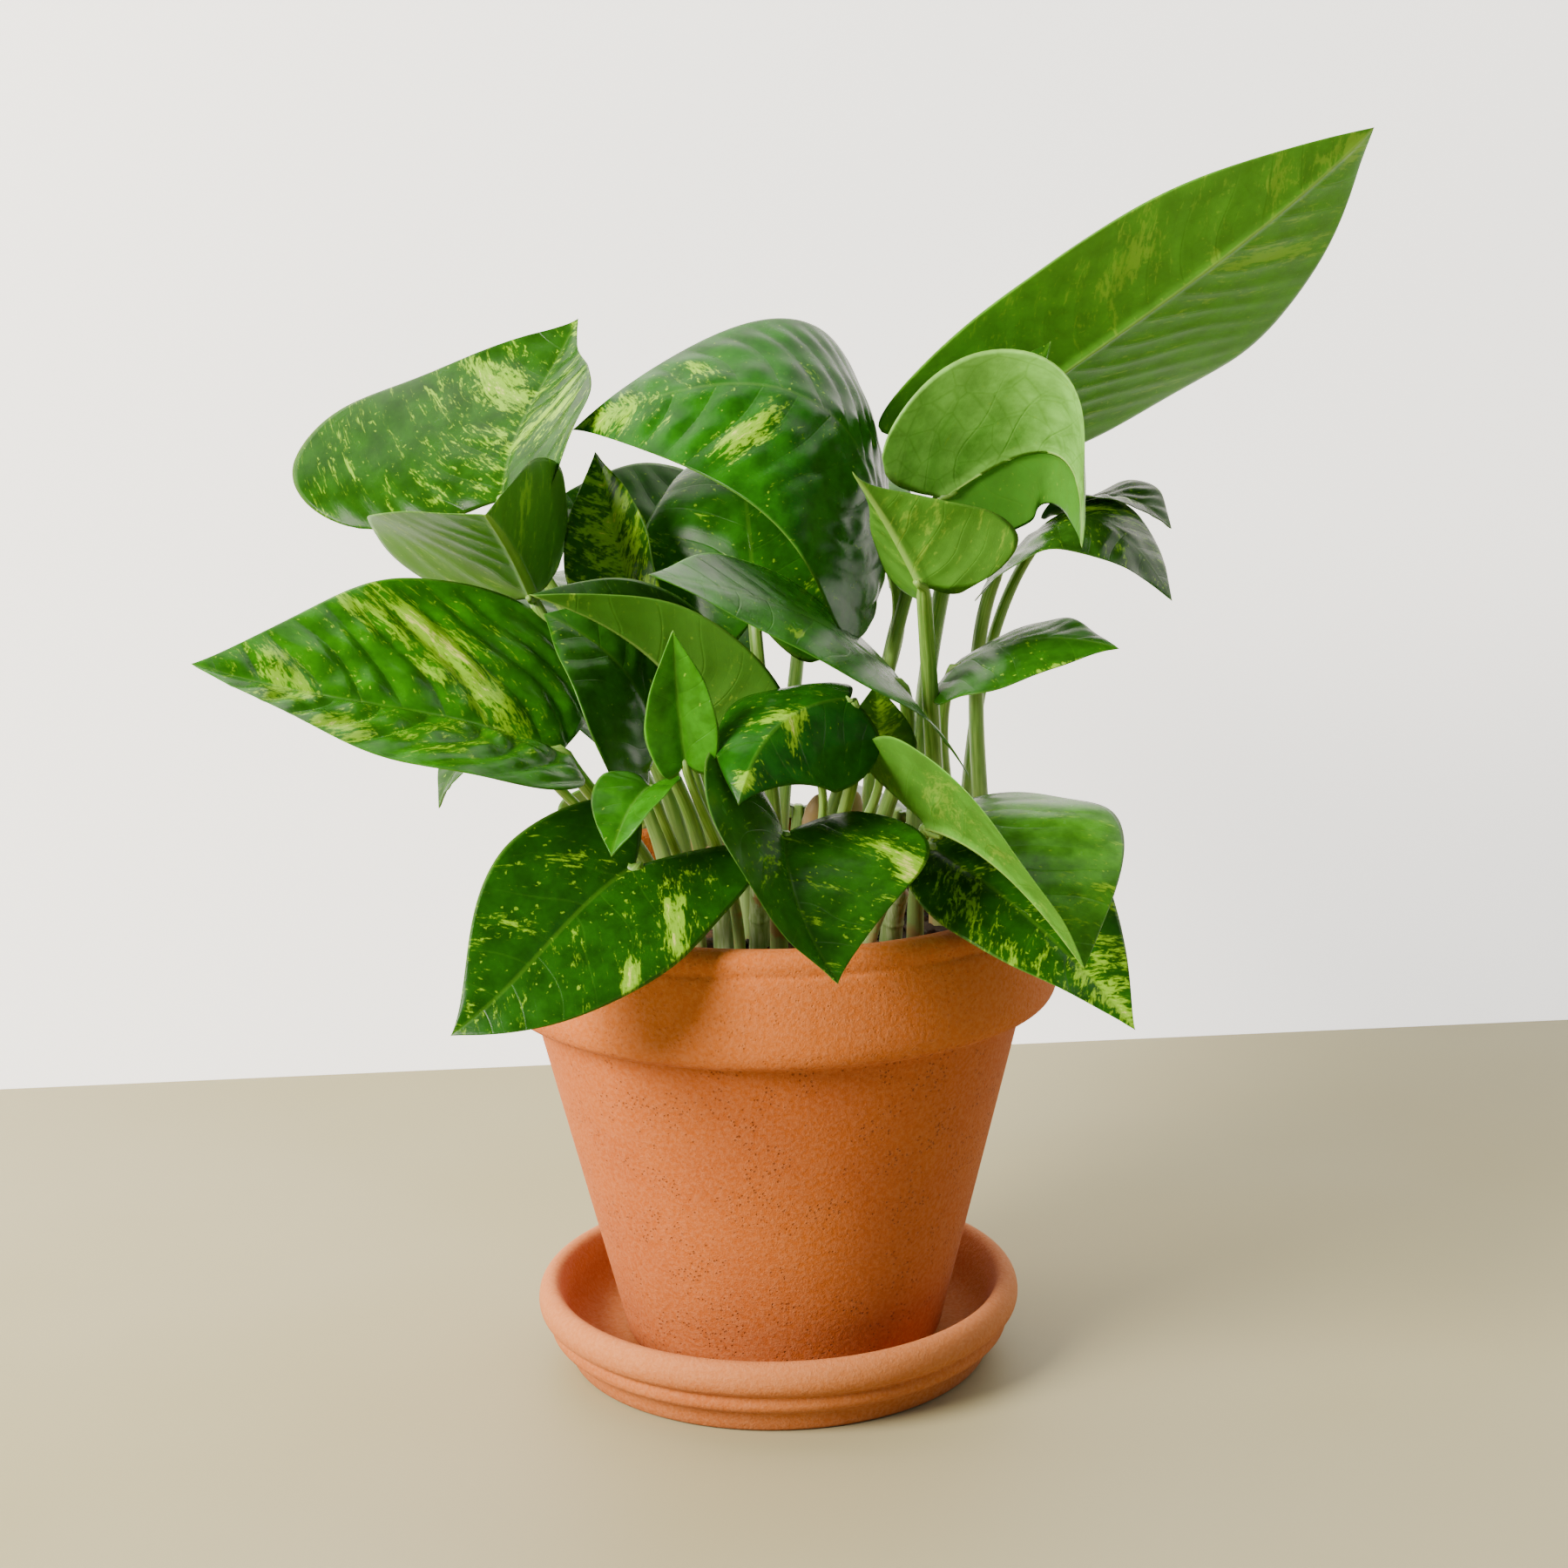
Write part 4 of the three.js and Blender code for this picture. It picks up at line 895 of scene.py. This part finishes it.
def makeStem(name, stem, material):
    # a tube along a bent path that leaves the soil upright, thinner upward and swollen at two nodes
    foot = np.array([*stem["foot"], soilLook["top"] - soilLook["rootDepth"]], float)
    top = np.array(stem["top"], float)
    middle = foot + (0, 0, (top[2] - foot[2]) / 2)
    t = np.linspace(0, 1, 80)[:, None]
    path = (1 - t) ** 2 * foot + 2 * (1 - t) * t * middle + t ** 2 * top
    run = np.linspace(0, 1, 70)
    ringed = 1 + 0.1 * np.exp(-((run - 0.45) / 0.03) ** 2) + 0.08 * np.exp(-((run - 0.8) / 0.03) ** 2)
    radii = stem["radius"] * ringed * (1.02 - 0.25 * run) * np.sqrt(np.clip((1 - run) * 9, 0.02, 1))
    points, faces, _ = tubeMesh(path, radii, 20, 0.05)
    made = buildMesh(name + "_stem", points * mm, faces, [material])
    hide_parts(name)
    return made


pieces = [makePot(), makeSaucer(), makeSoil()]
print("pot, saucer and soil made")
bark = barkMaterial()
pieces.append(scatterLumps("soil_crumbs", soilLook["crumbs"], bark))
pieces.append(scatterLumps("soil_bark", soilLook["bark"], bark))
print("soil crumbs and bark made")
leafSkins = [leafMaterial(), stalkMaterial()]
pieces += [makeLeaf(name, leaf, k, leafSkins) for k, (name, leaf) in enumerate(leaves.items())]
print("leaves made:", len(leaves))
stemSkin = stemMaterial()
pieces += [makeStem(name, stem, stemSkin) for name, stem in stems.items()]
for piece in pieces:
    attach(piece, "root")
print("stems made")


# room: a matt painted table, a plain painted wall a little turned that gives a faint light of its own so
# that it stays pale, and soft light from upper left; lengths in metres
room = {
    "table": "989066", "tableHalf": 4, "wall": "f0efee", "wallLift": 1.5, "cloud": "ffffff",
    "wallBehind": 0.261, "wallTurn": 5, "wallHalf": 3, "wallHeight": 4,
    "key": {"place": (-1.38, -1.0, 1.12), "size": 1.0, "power": 122, "color": "fff6ea"},
    "fill": {"place": (1.3, -1.2, 0.7), "size": 1.4, "power": 3, "color": "f2f6ff"},
    "lightAim": (0, 0, 0.15), "sky": "f4f6fa", "skyStrength": 0.27,
}


def paintMaterial(name, code, roughness, lift, seeThroughBack):
    # matt paint: one even tone, barely clouded over about 0.3 m, with no highlight to catch the eye
    material, add = newMaterial(name)
    cloud = add("TexNoise", add("TexCoord", output="Object"), 3, 3, 0.5)
    color = painted(add, rgba(code), (add("MapRange", cloud, 0.3, 0.7), 0.06, room["cloud"]))
    shader = add("BsdfPrincipled", Base_Color=color, Roughness=roughness, Emission_Color=rgba(code),
                 Emission_Strength=lift)
    if seeThroughBack:  # the wall shows only from its front, so the plant can be looked at from behind
        shader = add("MixShader", add("NewGeometry", output="Backfacing"), shader, add("BsdfTransparent"))
    add("OutputMaterial", shader)
    return material


def flatPlane(name, corners, material):
    buildMesh(name, corners, [[0, 1, 2, 3]], [material], smooth=False)


def wallPoint(x, z):
    return (x, room["wallBehind"] + x * math.tan(math.radians(room["wallTurn"])), z)


def areaLight(name, look):
    # a round soft light that looks at lightAim
    data = bpy.data.lights.new(name, "AREA")
    data.shape, data.size, data.energy = "DISK", look["size"], look["power"]
    data.color = rgba(look["color"])[:3]
    made = bpy.data.objects.new(name, data)
    made.location = look["place"]
    way = unit(np.array(room["lightAim"]) - look["place"])
    made.rotation_euler = (math.acos(-way[2]), 0, math.atan2(way[1], way[0]) - math.pi / 2)
    bpy.context.scene.collection.objects.link(made)


far, wide, high = room["tableHalf"], room["wallHalf"], room["wallHeight"]
flatPlane("table_top", [(-far, -far, 0), (far, -far, 0), (far, far, 0), (-far, far, 0)],
          paintMaterial("painted table", room["table"], 0.6, 0, False))
flatPlane("wall", [wallPoint(-wide, 0), wallPoint(wide, 0), wallPoint(wide, high), wallPoint(-wide, high)],
          paintMaterial("painted wall", room["wall"], 0.9, room["wallLift"], True))
areaLight("key_light", room["key"])
areaLight("fill_light", room["fill"])
world = bpy.data.worlds.new("pale room")
world.use_nodes = True
backdrop = world.node_tree.nodes["Background"]
backdrop.inputs["Color"].default_value = rgba(room["sky"])
backdrop.inputs["Strength"].default_value = room["skyStrength"]
bpy.context.scene.world = world
print("room and lights made")

# camera: a little above the pot's rim, long lens, turned a little about its own axis
view = {"distance": 0.770, "target": (0.004, 0, 0.160), "elevation": 12.5, "roll": -1.0, "lens": 66}
elevation, roll = math.radians(view["elevation"]), math.radians(view["roll"])
cameraData = bpy.data.cameras.new("camera")
cameraData.lens, cameraData.sensor_width = view["lens"], 36
cameraData.clip_start, cameraData.clip_end = 0.05, 20
camera = bpy.data.objects.new("camera", cameraData)
back = np.array([0, -math.cos(elevation), math.sin(elevation)])
camera.location = np.array(view["target"]) + back * view["distance"]
right = np.array([1.0, 0, 0])
turnedRight = math.cos(roll) * right + math.sin(roll) * np.cross(back, right)
turnedUp = np.cross(back, turnedRight)
camera.rotation_mode = "QUATERNION"
axes = np.stack([turnedRight, turnedUp, back], 1).tolist()
camera.rotation_quaternion = mathutils.Matrix(axes).to_quaternion()
bpy.context.scene.collection.objects.link(camera)
bpy.context.scene.camera = camera

bpy.context.view_layer.update()
print("scene ready")
